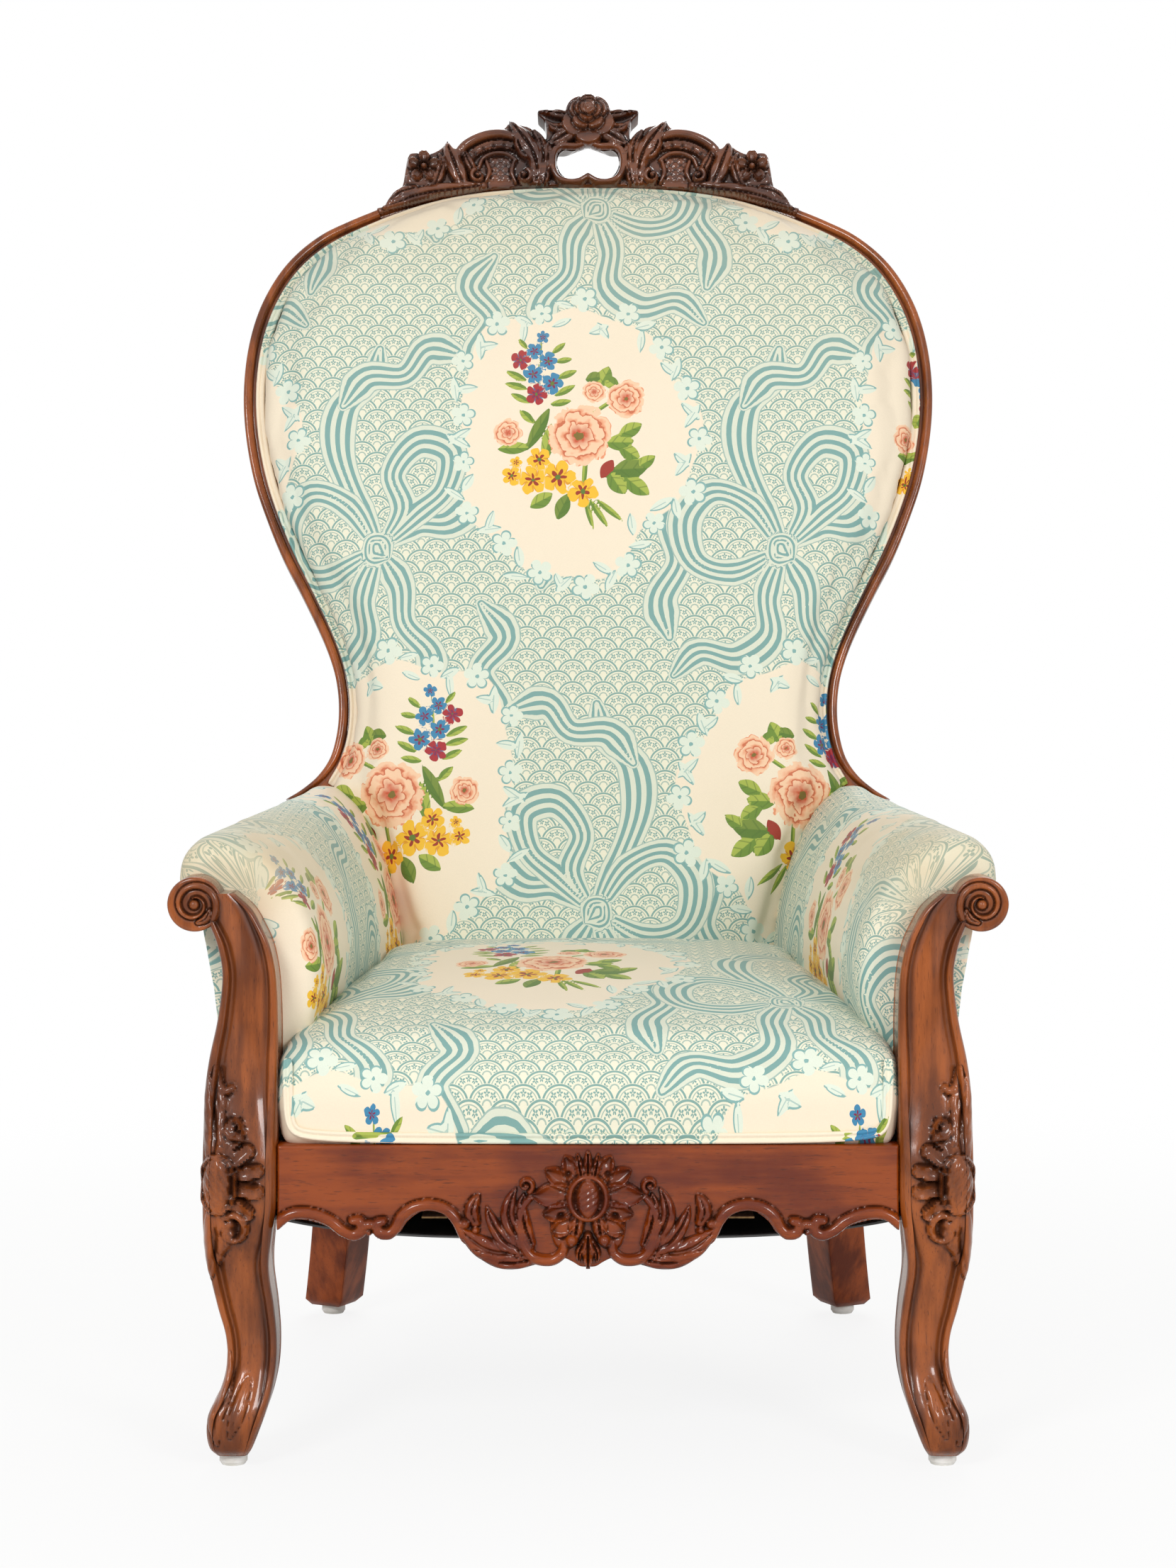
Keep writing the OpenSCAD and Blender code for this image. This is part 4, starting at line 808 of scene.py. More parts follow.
def copy_of(node: str, name: str) -> bpy.types.Object:
    """A merged copy of a solid from the frame, as a piece of its own.

    Args:
        node: The solid.
        name: The new piece.

    Returns:
        The piece.
    """
    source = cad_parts[node]
    mesh = source.data.copy()
    mesh.transform(source.matrix_world)
    mesh.materials.clear()
    bm = bmesh.new()
    bm.from_mesh(mesh)
    bmesh.ops.remove_doubles(bm, verts=bm.verts, dist=0.00002)
    bmesh.ops.recalc_face_normals(bm, faces=bm.faces)
    bm.to_mesh(mesh)
    bm.free()
    obj = bpy.data.objects.new(name, mesh)
    bpy.context.scene.collection.objects.link(obj)
    return obj


def settle(obj: bpy.types.Object) -> None:
    """Put the result of a piece's modifiers into its mesh.

    Args:
        obj: The piece.
    """
    done = bpy.data.meshes.new_from_object(obj.evaluated_get(bpy.context.evaluated_depsgraph_get()))
    obj.modifiers.clear()
    obj.data = done


def coords(mesh: bpy.types.Mesh, kind: str = "co") -> Grid:
    """A mesh's points, one row to each.

    Args:
        mesh: The mesh.
        kind: What is read of a point, its place or its normal.

    Returns:
        Three numbers to a row.
    """
    out = np.empty(len(mesh.vertices) * 3)
    mesh.vertices.foreach_get(kind, out)
    return out.reshape(-1, 3)


@dataclass
class Pad:
    """A stuffed and covered piece: its solids remeshed as one, smoothed and swollen with air."""

    name: str
    hidden: tuple[str, ...]
    cloth: Callable[[Grid], Grid]
    voxel: float = 0.005
    ease: int = 8
    grow: float = 0.003
    cap: float = 0.006
    fill: float = 0.85
    pressure: float = 4.0
    stiffness: float = 20.0
    frames: int = 20
    wrapped: tuple[str, ...] = ()

    def build(self, finish: bpy.types.Material, motif: Print) -> bpy.types.Object:
        """Make the piece and lay the print on it.

        Args:
            finish: The printed cotton.
            motif: The print.

        Returns:
            The piece.
        """
        solids = [copy_of(node, "solid") for node in (*self.hidden, *self.wrapped)]
        obj = piece_of(self.name, *(solid.data for solid in solids))
        for solid in solids:
            bpy.data.objects.remove(solid)
        remesh = obj.modifiers.new("Remesh", "REMESH")
        remesh.mode = "VOXEL"
        remesh.voxel_size = self.voxel
        settle(obj)
        bm = bmesh.new()
        bm.from_mesh(obj.data)
        for _ in range(self.ease):
            bmesh.ops.smooth_vert(bm, verts=bm.verts, factor=0.5, use_axis_x=True, use_axis_y=True,
                                  use_axis_z=True)
        bm.normal_update()
        for vert in bm.verts:
            vert.co += vert.normal * self.grow
        bm.to_mesh(obj.data)
        bm.free()
        self.swell(obj)
        split = obj.modifiers.new("Subdivision", "SUBSURF")
        split.levels = split.render_levels = 1
        settle(obj)
        obj.data.shade_smooth()
        obj.data.materials.clear()
        obj.data.materials.append(finish)
        motif.lay(obj, self.cloth)
        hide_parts(*self.hidden)
        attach(obj, "root")
        return obj

    def swell(self, obj: bpy.types.Object) -> None:
        """Blow the piece up as cloth under pressure, outwards only and as far as its cap allows.

        Args:
            obj: The piece.
        """
        before = coords(obj.data)
        air = obj.modifiers.new("Cloth", "CLOTH")
        air.settings.quality = 4
        air.settings.use_pressure = True
        air.settings.uniform_pressure_force = self.pressure
        air.settings.effector_weights.gravity = 0.0
        air.settings.tension_stiffness = self.stiffness
        air.settings.compression_stiffness = self.stiffness
        air.point_cache.frame_end = self.frames
        scene = bpy.context.scene
        for step in range(1, self.frames + 1):
            scene.frame_set(step)
        after = coords(obj.evaluated_get(bpy.context.evaluated_depsgraph_get()).data)
        obj.modifiers.clear()
        scene.frame_set(1)
        normal = coords(obj.data, "normal")
        out = np.clip(((after - before) * normal).sum(1, keepdims=True), 0, self.cap)
        obj.data.vertices.foreach_set("co", (before + normal * out).astype(np.float32).ravel())


@dataclass
class Panel:
    """Cloth drawn tight over an outside, or a cord sewn along an edge, smoothed from its solid."""

    name: str
    source: str
    cloth: Callable[[Grid], Grid] | None = None
    levels: int = 2
    grid: float = 0.0

    def build(self, finish: bpy.types.Material, slot: str, motif: Print | None = None) -> bpy.types.Object:
        """Make the piece.

        Args:
            finish: Its material.
            slot: Not used.
            motif: The print, if it has one.

        Returns:
            The piece.
        """
        obj = copy_of(self.source, self.name)
        bm = bmesh.new()
        bm.from_mesh(obj.data)
        if self.grid:
            self.squares(bm)
        else:
            bmesh.ops.join_triangles(bm, faces=bm.faces, angle_face_threshold=1.0, angle_shape_threshold=1.2)
        bm.to_mesh(obj.data)
        bm.free()
        split = obj.modifiers.new("Subdivision", "SUBSURF")
        split.levels = split.render_levels = self.levels
        settle(obj)
        obj.data.shade_smooth()
        obj.data.materials.clear()
        obj.data.materials.append(finish)
        if motif and self.cloth:
            motif.lay(obj, self.cloth)
        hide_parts(self.source)
        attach(obj, "root")
        return obj

    def squares(self, bm: bmesh.types.BMesh) -> None:
        """Cut a mesh by planes across its two longest sides, so that the print has points enough.

        Args:
            bm: The mesh.
        """
        points = np.array([vert.co for vert in bm.verts])
        low, high = points.min(0), points.max(0)
        for axis in np.argsort(high - low)[1:]:
            way = Vector([float(k == axis) for k in range(3)])
            for place in np.arange(low[axis] + self.grid / 2, high[axis], self.grid):
                bmesh.ops.bisect_plane(bm, geom=bm.verts[:] + bm.edges[:] + bm.faces[:], plane_co=way * place,
                                       plane_no=way, dist=0.0001)


def back_cloth(p: Grid) -> Grid:
    """Places on the cloth of the inner back: across, and up along its slope.

    Args:
        p: The points in metres.

    Returns:
        Millimetres along the weft and the warp.
    """
    up = (p[:, 1] - BACK_Y) * math.sin(RAKE) + (p[:, 2] - RAIL_TOP) * math.cos(RAKE)
    depth = (p[:, 1] - BACK_Y) * math.cos(RAKE) - (p[:, 2] - RAIL_TOP) * math.sin(RAKE)
    return np.column_stack([p[:, 0] + np.sign(p[:, 0]) * np.clip(depth + 0.05, 0, 1) * 0.3, up + 0.028]) / MM


def seat_cloth(p: Grid) -> Grid:
    """Places on the cloth of the seat: across, and back over its crown from the front.

    Args:
        p: The points in metres.

    Returns:
        Millimetres along the weft and the warp.
    """
    up = p[:, 1] - np.clip(0.335 - p[:, 2], 0, 1) * 0.8 * np.clip((-0.25 - p[:, 1]) * 12, 0, 1)
    up += np.clip((-0.10 - p[:, 1]) / 0.15, 0, 1) * 0.010
    return np.column_stack([p[:, 0] / MM + 22, up / MM + 753])


def arm_cloth(p: Grid) -> Grid:
    """Places on the cloth of an arm: along it, and up its inside and over its roll.

    Args:
        p: The points in metres.

    Returns:
        Millimetres along the weft and the warp.
    """
    middle, centre, radius = 0.262, 0.435, 0.05
    side, rise = np.abs(p[:, 0]) - middle, p[:, 2] - centre
    turned = np.clip((-0.285 - p[:, 1]) / 0.012, 0, 1) * np.clip((0.45 - p[:, 2]) / 0.03, 0, 1)
    along = p[:, 1] - turned * np.clip(np.abs(p[:, 0]) - 0.2, 0, 1)
    over = np.where(rise > 0, radius * np.arctan2(np.maximum(rise, 0), -side), rise)
    over = np.where((rise <= 0) & (side > 0), radius * math.pi - rise, over)
    return np.column_stack([np.sign(p[:, 0]) * along / MM - 60, over / MM + 300])


def outer_arm_cloth(p: Grid) -> Grid:
    """Places on the cloth outside an arm: along it, and up."""
    return np.column_stack([np.sign(p[:, 0]) * (np.abs(p[:, 0]) - p[:, 1]), p[:, 2]]) / MM + (60, 120)


def outer_back_cloth(p: Grid) -> Grid:
    """Places on the cloth of the outer back: across, and up along its slope."""
    return back_cloth(p * (-1, 1, 1)) + (190, 0)


@dataclass
class Upholstery:
    """Everything that the upholsterer made."""

    motif: Print = field(default_factory=Print)

    def build(self) -> list[bpy.types.Object]:
        """Make the pads, panels and welts.

        Returns:
            The pieces.
        """
        chintz = Chintz().material()
        sides = ("left", "right")
        pads = [Pad("back_upholstery", ("back_stuffing", "back_cover"), back_cloth, grow=0.0055),
                Pad("seat_upholstery", ("seat_stuffing", "seat_cover"), seat_cloth, ease=5, grow=0.005)]
        pads += [Pad(f"arm_upholstery_{s}", (f"arm_stuffing_{s}", f"arm_cover_{s}"), arm_cloth, voxel=0.0045,
                     wrapped=(f"arm_rail_{s}",)) for s in sides]
        pieces = [report(pad.build(chintz, self.motif)) for pad in pads]
        for s in sides:
            panel = Panel(f"outer_arm_panel_{s}", f"outer_arm_{s}", outer_arm_cloth, levels=1, grid=0.008)
            pieces.append(report(panel.build(chintz, "chintz", self.motif)))
        back = Panel("outer_back_panel", "outer_back_cover", outer_back_cloth, levels=1, grid=0.010)
        pieces.append(report(back.build(chintz, "chintz", self.motif)))
        for name, cloth in (("back_welt", back_cloth), ("seat_welt", seat_cloth)):
            cord = Panel(f"{name}_cord", name, cloth, levels=2)
            pieces.append(report(cord.build(chintz, "chintz", self.motif)))
        cambric = Cloth("black_cambric", "1b1b1c", "0c0c0d").material()
        dust = Panel("dust_cloth", "dust_cover", None, levels=2)
        pieces.append(report(dust.build(cambric, "black_cambric")))
        return pieces


def report(obj: bpy.types.Object) -> bpy.types.Object:
    """Say that a piece is done, and hand it on."""
    log.info("%s: %d faces", obj.name, len(obj.data.polygons))
    return obj


class Cut(Enum):
    """How a stroke of the carver's tool leaves the wood."""

    BEAD = "round"
    LEAF = "two cheeks about a vein"
    CUP = "hollow between rims"
    GROOVE = "sunk"


@dataclass(frozen=True)
class Stroke:
    """One stroke along a curve: rows of across, up, half width and height, in millimetres.

    A leaf's ribs are counted along it, and dig is how deep the ground beside a raised stroke is cut.
    """

    rows: tuple[tuple[float, float, float, float], ...]
    cut: Cut = Cut.BEAD
    ribs: float = 3.0
    dig: float = 1.0


def depth_in(polygon: Grid, x: Grid, z: Grid) -> Grid:
    """How far points lie inside an outline.

    Args:
        polygon: Its corners, one row to each.
        x: The points' places across.
        z: The points' places up.

    Returns:
        Millimetres, less than nought outside.
    """
    a, b = polygon, np.roll(polygon, -1, axis=0)
    shape, x, z = x.shape, x.ravel(), z.ravel()
    out = np.empty(len(x))
    d = b - a
    batch = 20000
    for start in range(0, len(x), batch):
        part = slice(start, start + batch)
        px, pz = x[part, None] - a[:, 0], z[part, None] - a[:, 1]
        t = np.clip((px * d[:, 0] + pz * d[:, 1]) / np.maximum((d ** 2).sum(1), TINY), 0, 1)
        gap = np.hypot(px - t * d[:, 0], pz - t * d[:, 1]).min(1)
        above = (a[:, 1] > z[part, None]) != (b[:, 1] > z[part, None])
        with np.errstate(divide="ignore", invalid="ignore"):
            hit = above & (x[part, None] < d[:, 0] * pz / d[:, 1] + a[:, 0])
        out[part] = np.where(hit.sum(1) % 2 == 1, gap, -gap)
    return out.reshape(shape)


class Relief:
    """Heights over a surface, in millimetres, with how far each point lies inside the outline."""

    trench: float = 1.1

    def __init__(self, x: Grid, z: Grid, edge: Grid, base: Grid | float = 0.0) -> None:
        """Start from a plain surface.

        Args:
            x: The points' places across.
            z: The points' places up.
            edge: How far they lie inside the outline.
            base: The plain surface's height.
        """
        self.x, self.z, self.edge = x, z, edge
        self.height = np.zeros(x.shape) + base

    def carve(self, strokes: Sequence[Stroke], rise: float = 1.0) -> "Relief":
        """Cut strokes one over the other.

        Args:
            strokes: The strokes, the lowest first.
            rise: How many times higher than written they stand.

        Returns:
            This relief.
        """
        for stroke in strokes:
            self.stroke(stroke, rise)
        return self

    def stroke(self, stroke: Stroke, rise: float) -> None:
        """Cut one stroke.

        Args:
            stroke: The stroke.
            rise: How many times higher than written it stands.
        """
        path = smooth_line(stroke.rows, 8)
        reach = path[:, 2].max() + 5
        near = np.nonzero((self.x > path[:, 0].min() - reach) & (self.x < path[:, 0].max() + reach)
                          & (self.z > path[:, 1].min() - reach) & (self.z < path[:, 1].max() + reach))
        if len(near[0]) == 0:
            return
        a, b = path[:-1], path[1:]
        d = b - a
        px, pz = self.x[near][:, None] - a[:, 0], self.z[near][:, None] - a[:, 1]
        t = np.clip((px * d[:, 0] + pz * d[:, 1]) / np.maximum((d[:, :2] ** 2).sum(1), TINY), 0, 1)
        gap = np.hypot(px - t * d[:, 0], pz - t * d[:, 1])
        share = gap / np.maximum(a[:, 2] + t * d[:, 2], 0.05)
        k = share.argmin(1)
        row = np.arange(len(k))
        q, gap, t = share[row, k], gap[row, k], t[row, k]
        width = a[k, 2] + t * d[k, 2]
        high = (a[k, 3] + t * d[k, 3]) * rise
        along = (k + t) / len(a)
        body = np.sqrt(np.clip(1 - q ** 2, 0, 1))
        if stroke.cut is Cut.LEAF:
            ribs = np.cos(2 * math.pi * (along * stroke.ribs - q * 0.9))
            body = body ** 0.8 * (1 - 0.42 * np.exp(-(q / 0.17) ** 2) + 0.13 * ribs * q)
        elif stroke.cut is Cut.CUP:
            body = (0.5 + 0.5 * np.clip(q / 0.78, 0, 1) ** 2) * np.clip((1 - q) / 0.2, 0, 1) ** 0.5
        height = self.height[near]
        if stroke.cut is Cut.GROOVE:
            self.height[near] = height - high * np.exp(-2.5 * q ** 2)
            return
        height = height - stroke.dig * np.exp(-np.clip((gap - width) / self.trench, 0, 9) ** 2) * (q > 1)
        self.height[near] = np.where(q < 1, np.maximum(height, high * body), height)
        self.edge[near] = np.maximum(self.edge[near], np.where(q < 1.6, width - gap, -9))

    def roll(self, width: float, depth: float) -> "Relief":
        """Round the surface down towards its outline.

        Args:
            width: How far from the outline it starts.
            depth: How far it drops.

        Returns:
            This relief.
        """
        self.height -= depth * (1 - np.sqrt(1 - (1 - np.clip(self.edge / width, 0, 1)) ** 2))
        return self


def both_sides(*edges: Sequence[Sequence[float]]) -> Grid:
    """A closed outline from the curves of its right half, from the middle at the bottom to that at the top."""
    half = np.vstack([smooth_line(edge, 4) for edge in edges])
    return np.vstack([half, (half * (-1, 1))[::-1]])


@dataclass
class Board:
    """A carved board: a grid cut along its outline, with walls and a back."""

    name: str
    low: Pair
    high: Pair
    pitch: float
    back: float
    relief: Callable[[Grid, Grid], Relief]
    place: Callable[[Grid], Grid]
    lip: float = 1.3
    least_slope: float = 0.15

    def mesh(self) -> bpy.types.Mesh:
        """Cut and raise the grid.

        Returns:
            The mesh, in metres.
        """
        nx = int((self.high[0] - self.low[0]) / self.pitch) + 1
        nz = int((self.high[1] - self.low[1]) / self.pitch) + 1
        z, x = np.meshgrid(np.linspace(self.low[1], self.high[1], nz),
                           np.linspace(self.low[0], self.high[0], nx), indexing="ij")
        relief = self.relief(x, z)
        gz, gx = np.gradient(relief.edge, self.pitch)
        steep = np.maximum(gx ** 2 + gz ** 2, self.least_slope)
        pull = np.where(relief.edge < 0, np.clip(relief.edge, -self.lip * self.pitch, 0), 0) / steep
        shown = np.stack([x - pull * gx, z - pull * gz, relief.height], axis=-1)
        mesh = bpy.data.meshes.new(self.name)
        bm = bmesh.new()
        bmesh.ops.create_grid(bm, x_segments=nx - 1, y_segments=nz - 1, size=0.5)
        kept = set()
        for vert in bm.verts:
            i, j = round((vert.co.y + 0.5) * (nz - 1)), round((vert.co.x + 0.5) * (nx - 1))
            vert.co = shown[i, j]
            if relief.edge[i, j] > 0:
                kept.add(vert)
        gone = [face for face in bm.faces if not any(vert in kept for vert in face.verts)]
        bmesh.ops.delete(bm, geom=gone, context="FACES")
        front = bmesh.ops.extrude_face_region(bm, geom=bm.faces[:])["geom"]
        raised = {item for item in front if isinstance(item, bmesh.types.BMVert)}
        for vert in bm.verts:
            if vert not in raised:
                vert.co.z = -self.back
        bmesh.ops.recalc_face_normals(bm, faces=bm.faces)
        bm.to_mesh(mesh)
        bm.free()
        mesh.vertices.foreach_set("co", self.place(coords(mesh)).astype(np.float32).ravel())
        return mesh


def wooden(obj: bpy.types.Object, finish: bpy.types.Material, slot: str, *nodes: str) -> bpy.types.Object:
    """Turn a rigid piece's faces outwards, give it its finish and put it in the place of solids.

    Args:
        obj: The piece.
        finish: Its material.
        slot: Not used.
        nodes: The solids that it stands for.

    Returns:
        The piece.
    """
    bm = bmesh.new()
    bm.from_mesh(obj.data)
    bmesh.ops.recalc_face_normals(bm, faces=bm.faces)
    bm.to_mesh(obj.data)
    bm.free()
    obj.data.shade_smooth()
    obj.data.set_sharp_from_angle(angle=SHARP)
    obj.data.materials.clear()
    obj.data.materials.append(finish)
    if nodes:
        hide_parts(*nodes)
    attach(obj, "root")
    return obj


def ring(x: float, z: float, r: float, width: float, high: float, start: float = 0.0, turn: float = 360.0,
         tall: float = 1.0, shrink: float = 0.0) -> tuple[tuple[float, float, float, float], ...]:
    """Rows of a stroke that runs round a place, or winds into it.

    Args:
        x: The place across.
        z: The place up.
        r: The radius.
        width: Half the stroke's width.
        high: The stroke's height.
        start: Degrees where it starts.
        turn: Degrees that it runs through.
        tall: How much taller than wide the ring is.
        shrink: How much of the radius and the width is lost on the way.

    Returns:
        The rows.
    """
    count = max(6, int(abs(turn) / 24))
    rows = []
    for k in range(count + 1):
        share = k / count
        a, size = math.radians(start + turn * share), 1 - shrink * share
        rows.append((x + r * size * math.cos(a), z + r * size * tall * math.sin(a), width * size, high))
    return tuple(rows)


def cabochon(x: float, z: float, wide: float, tall: float, high: float) -> tuple[tuple[float, ...], ...]:
    """Rows of an oval boss of the given half width, half height and rise."""
    return tuple((x, z + tall * 0.9 * k, wide * math.sqrt(1 - (0.9 * k) ** 2), high)
                 for k in (-1, -0.75, -0.4, 0, 0.4, 0.75, 1))


def dot(x: float, z: float, r: float, high: float) -> tuple[tuple[float, float, float, float], ...]:
    """Rows of a round boss."""
    return ((x - 0.05, z, r, high), (x + 0.05, z, r, high))


@dataclass
class Crest:
    """The pierced and carved crest, and the rose on top of it, over a back that leans and bows."""

    half: float = 331.0
    bow: float = 34.0
    proud: float = 7.8
    thick: float = 29.9
    plate_box: tuple[Pair, Pair] = ((-210, 782), (210, 936))
    rose_box: tuple[Pair, Pair] = ((-29.6, 890), (29.6, 954))
    hole_at: Pair = (0, 876)
    flare: float = 9.0
    lattice_at: Pair = (86, 869)
    cell: float = 8.5
    top: tuple[Pair, ...] = (
        (206.9, 825.6), (195, 832), (189, 845), (182, 850), (177, 880), (170, 885), (157, 884), (145, 890),
        (139, 896), (132, 890), (120, 898), (107, 905), (88, 908), (77, 919), (69, 917), (57, 914), (48, 903),
        (42, 902), (41, 912), (43, 921), (49.5, 930.5), (24, 930), (0, 928))
    low: tuple[Pair, ...] = ((0, 812), (57, 811), (94, 808), (119, 805), (144, 799), (168, 791.4), (186.8, 785.2))
    hole: tuple[Pair, ...] = ((0, 867), (10, 861.2), (18.5, 860.6), (25.8, 864.5), (30.3, 874), (29.1, 884.5),
                              (23.8, 889.7), (14.9, 889.2), (6, 891.6), (0, 894.4))
    rebate: tuple[Pair, ...] = ((0, 854.1), (40, 853.6), (94, 850.3), (144, 840.8), (188, 827), (218, 815),
                                (248, 802))

    def place(self, p: Grid) -> Grid:
        """Stand points of the carving up in the chair.

        Args:
            p: Across, up and forward from the plate's face, in millimetres.

        Returns:
            Metres in the chair.
        """
        depth = self.bow * -(p[:, 0] / self.half) ** 2 - self.proud - p[:, 2]
        away = p[:, :2] - self.hole_at
        reach = np.linalg.norm(away, axis=1)
        push = self.flare * np.clip(-p[:, 2] / self.thick, 0, 1) * np.exp(-(np.maximum(reach - 24, 0) / 15) ** 2)
        p = np.column_stack([p[:, :2] + away * (push / np.maximum(reach, 1))[:, None], p[:, 2]])
        return np.column_stack([p[:, 0] * MM, BACK_Y + (depth * math.cos(RAKE) + p[:, 1] * math.sin(RAKE)) * MM,
                                RAIL_TOP + (p[:, 1] * math.cos(RAKE) - depth * math.sin(RAKE)) * MM])

    def strokes(self) -> list[Stroke]:
        """The right half of the carving.

        Returns:
            Its strokes, the lowest first.
        """
        s, leaf = Stroke, Cut.LEAF
        petals = [s(((161 + 5 * math.cos(a), 869 + 5 * math.sin(a), 3.5, 4), (161 + 11 * math.cos(a),
                    869 + 11 * math.sin(a), 6.2, 6.5)), Cut.CUP) for a in
                  (math.radians(90 + 72 * k) for k in range(5))]
        return [
            s(((125, 866, 4.5, 5), (129, 879, 5, 6), (121, 893, 5.2, 6.5), (104, 903, 5.2, 6.5),
               (86, 906, 5, 6.5), (70, 902, 4.5, 6))),
            s(((117, 864, 4, 3), (117.5, 878, 4.6, 3.4), (108, 888, 4.8, 3.4), (95, 893.5, 4.8, 3.4),
               (80, 894, 4.6, 3.4), (66, 889, 4, 3)), Cut.CUP),
            *[s(dot(x, z, 2.2, 2.4), Cut.GROOVE) for x, z in ((116, 876), (111, 884.5), (103, 890), (93, 893.2),
                                                             (83, 893.8), (73, 891.6))],
            s(((108, 869, 2.2, 3.5), (103, 880, 2.2, 3.8), (92, 885.5, 2.2, 3.8), (80, 885, 2.2, 3.8),
               (71, 879, 2.2, 3.5))),
            s(((71, 856, 2, 3), (75, 866, 2.4, 3.4), (73, 877, 2, 3))),
            s(((101, 856, 2, 3), (97, 866, 2.4, 3.4), (100, 877, 2, 3))),
            s(((171, 856, 8, 3), (158, 858, 12, 3.4), (150, 868, 10, 3))),
            *petals, s(dot(161, 869, 3.6, 8.5)),
            *[s(dot(161 + 5.2 * math.cos(a), 869 + 5.2 * math.sin(a), 1.0, 6.8)) for a in
              (math.radians(18 + 40 * k) for k in range(9))],
            s(((112, 852, 4, 4), (113, 866, 5, 6), (119, 879, 4.5, 6), (122, 888, 1.5, 3)), leaf),
            s(((150, 850, 4, 4), (146, 862, 5.5, 6), (143, 874, 4.5, 5), (146, 883, 1.5, 3)), leaf),
            s(((120, 848, 5, 5), (127, 862, 8.5, 8), (133, 878, 8.5, 8), (137, 889, 5, 6), (138.5, 896, 1, 3)),
              leaf),
            s(((104, 851, 5, 5), (122, 847, 8, 7.5), (146, 843, 9, 8), (168, 838, 8, 7), (186, 831, 5, 5),
               (200, 826, 1.5, 3)), leaf, 5),
            s(((118, 843, 4, 5), (138, 834, 6, 6), (160, 829, 6, 6), (180, 822, 3, 4)), leaf, 4),
            s(((170, 846, 4, 5), (182, 842, 5.5, 6), (190, 836, 4, 5), (197, 830, 1, 3)), leaf),
            s(ring(108, 860.5, 6.6, 3.4, 8, 60, -430, 1, 0.75)), s(dot(108, 860.5, 2.6, 9)),
            s(((54, 853, 5, 5), (45.5, 868, 6, 7), (44, 884, 6.5, 7), (47, 899, 5.5, 6), (53, 910, 2, 3)), leaf),
            s(((52, 850, 5, 5), (50, 868, 7.5, 8), (54, 885, 8.5, 9), (62, 899, 8.5, 8.5), (71, 911, 5, 7),
               (77, 919, 1, 3)), leaf, 4),
            s(((57, 880, 3, 5), (65, 887, 5, 8), (69, 897, 4.5, 8), (69, 905, 1.5, 4)), leaf),
            s(((44, 852, 3.5, 5), (41, 864, 4.5, 6.5), (39.5, 880, 4.5, 6.5), (38, 897, 2.5, 4)), leaf),
            s(ring(63, 861, 7.2, 3.6, 8.5, 120, 430, 1, 0.75)), s(dot(63, 861, 2.8, 9.5)),
            s(((0, 862.5, 3.4, 6), (9, 857, 3.8, 6.5), (20, 856, 4, 7), (30, 861, 4, 7), (35, 873, 4, 7),
               (33.5, 887, 4, 7), (26, 894, 3.8, 6.5), (14, 893.6, 3.6, 6.5), (5, 896, 3.4, 6), (0, 899, 3.2, 6))),
            s(((5, 922, 5, 4), (22, 926, 6, 6), (36, 928, 4, 6), (49, 930.5, 1, 3)), leaf),
            s(((18, 914, 6, 5), (28, 912, 6, 6.5), (35, 914, 4, 5), (41, 920, 1.2, 3)), leaf),
            s(((6, 917, 5, 5), (16, 909, 8, 8), (28, 901, 7.5, 7.5), (36, 897, 2, 4)), leaf, 4),
            s(((1, 914, 5, 6), (7, 905, 6, 8), (11, 897.5, 2, 5)), leaf),
        ]

    def plate(self, x: Grid, z: Grid) -> Relief:
        """The crest's carved face.

        Args:
            x: The points' places across.
            z: The points' places up.

        Returns:
            The relief.
        """
        outline = both_sides(self.low, self.top)
        hole = both_sides(self.hole)
        drop = np.interp(np.abs(x), *np.array(self.rebate).T)
        relief = Relief(np.abs(x), z, depth_in(outline, x, z))
        side, up = relief.x - self.lattice_at[0], z - self.lattice_at[1]
        lattice = np.clip(np.minimum(13 - np.abs(side), 13 - np.abs(up)) / 2, 0, 1)
        for way in (1, -1):
            cell = (side * 0.8 + way * up) / self.cell
            relief.height += lattice * (0.9 - 1.6 * np.exp(-((cell - np.round(cell)) / 0.09) ** 2))
        relief.carve(self.strokes(), 1.25)
        relief.roll(3.0, 2.6)
        relief.edge = np.minimum(relief.edge, -depth_in(hole, x, z))
        sunk = np.clip((drop - z) / 1.2, 0, 1)
        relief.height = relief.height * (1 - sunk) - self.proud * sunk
        return relief

    def rose(self, x: Grid, z: Grid) -> Relief:
        """Rings of petals about a bud.

        Args:
            x: The points' places across.
            z: The points' places up.

        Returns:
            The relief.
        """
        high = np.zeros(x.shape)
        edge = np.full(x.shape, -9.0)
        for count, phase, size, low, rise, mid in ((5, 0.3, 27.5, 7.5, 5.5, 920), (5, 0.95, 19.5, 11.5, 5.5, 926),
                                                   (4, 0.2, 13.5, 15.0, 5.0, 928), (3, 1.0, 8.5, 18.0, 3.5, 929)):
            reach, turn = np.hypot(x, (z - mid) * 1.02), np.arctan2(z - mid, x)
            lobe = np.abs(np.cos((turn + phase) * count / 2))
            rim = size * (0.80 + 0.20 * lobe ** 0.6)
            share = reach / rim
            body = low + rise * np.clip(share, 0, 1) ** 1.6 * (0.7 + 0.3 * lobe)
            body -= 1.2 * np.exp(-(lobe / 0.16) ** 2) * (share > 0.3)
            body = np.where(share < 1, body * np.clip((1 - share) / 0.10, 0, 1) ** 0.4, 0)
            high = np.where(body > high, body, high - 0.8 * np.exp(-((reach - rim) / 1.2) ** 2) * (share > 1))
            edge = np.maximum(edge, rim - reach)
        bud = np.clip(1 - (reach / 5.5) ** 2, 0, 1) ** 0.5
        high = np.maximum(high, 17.5 + 5 * bud + 0.6 * np.sin(turn * 2 + reach) * bud - (bud <= 0) * 30)
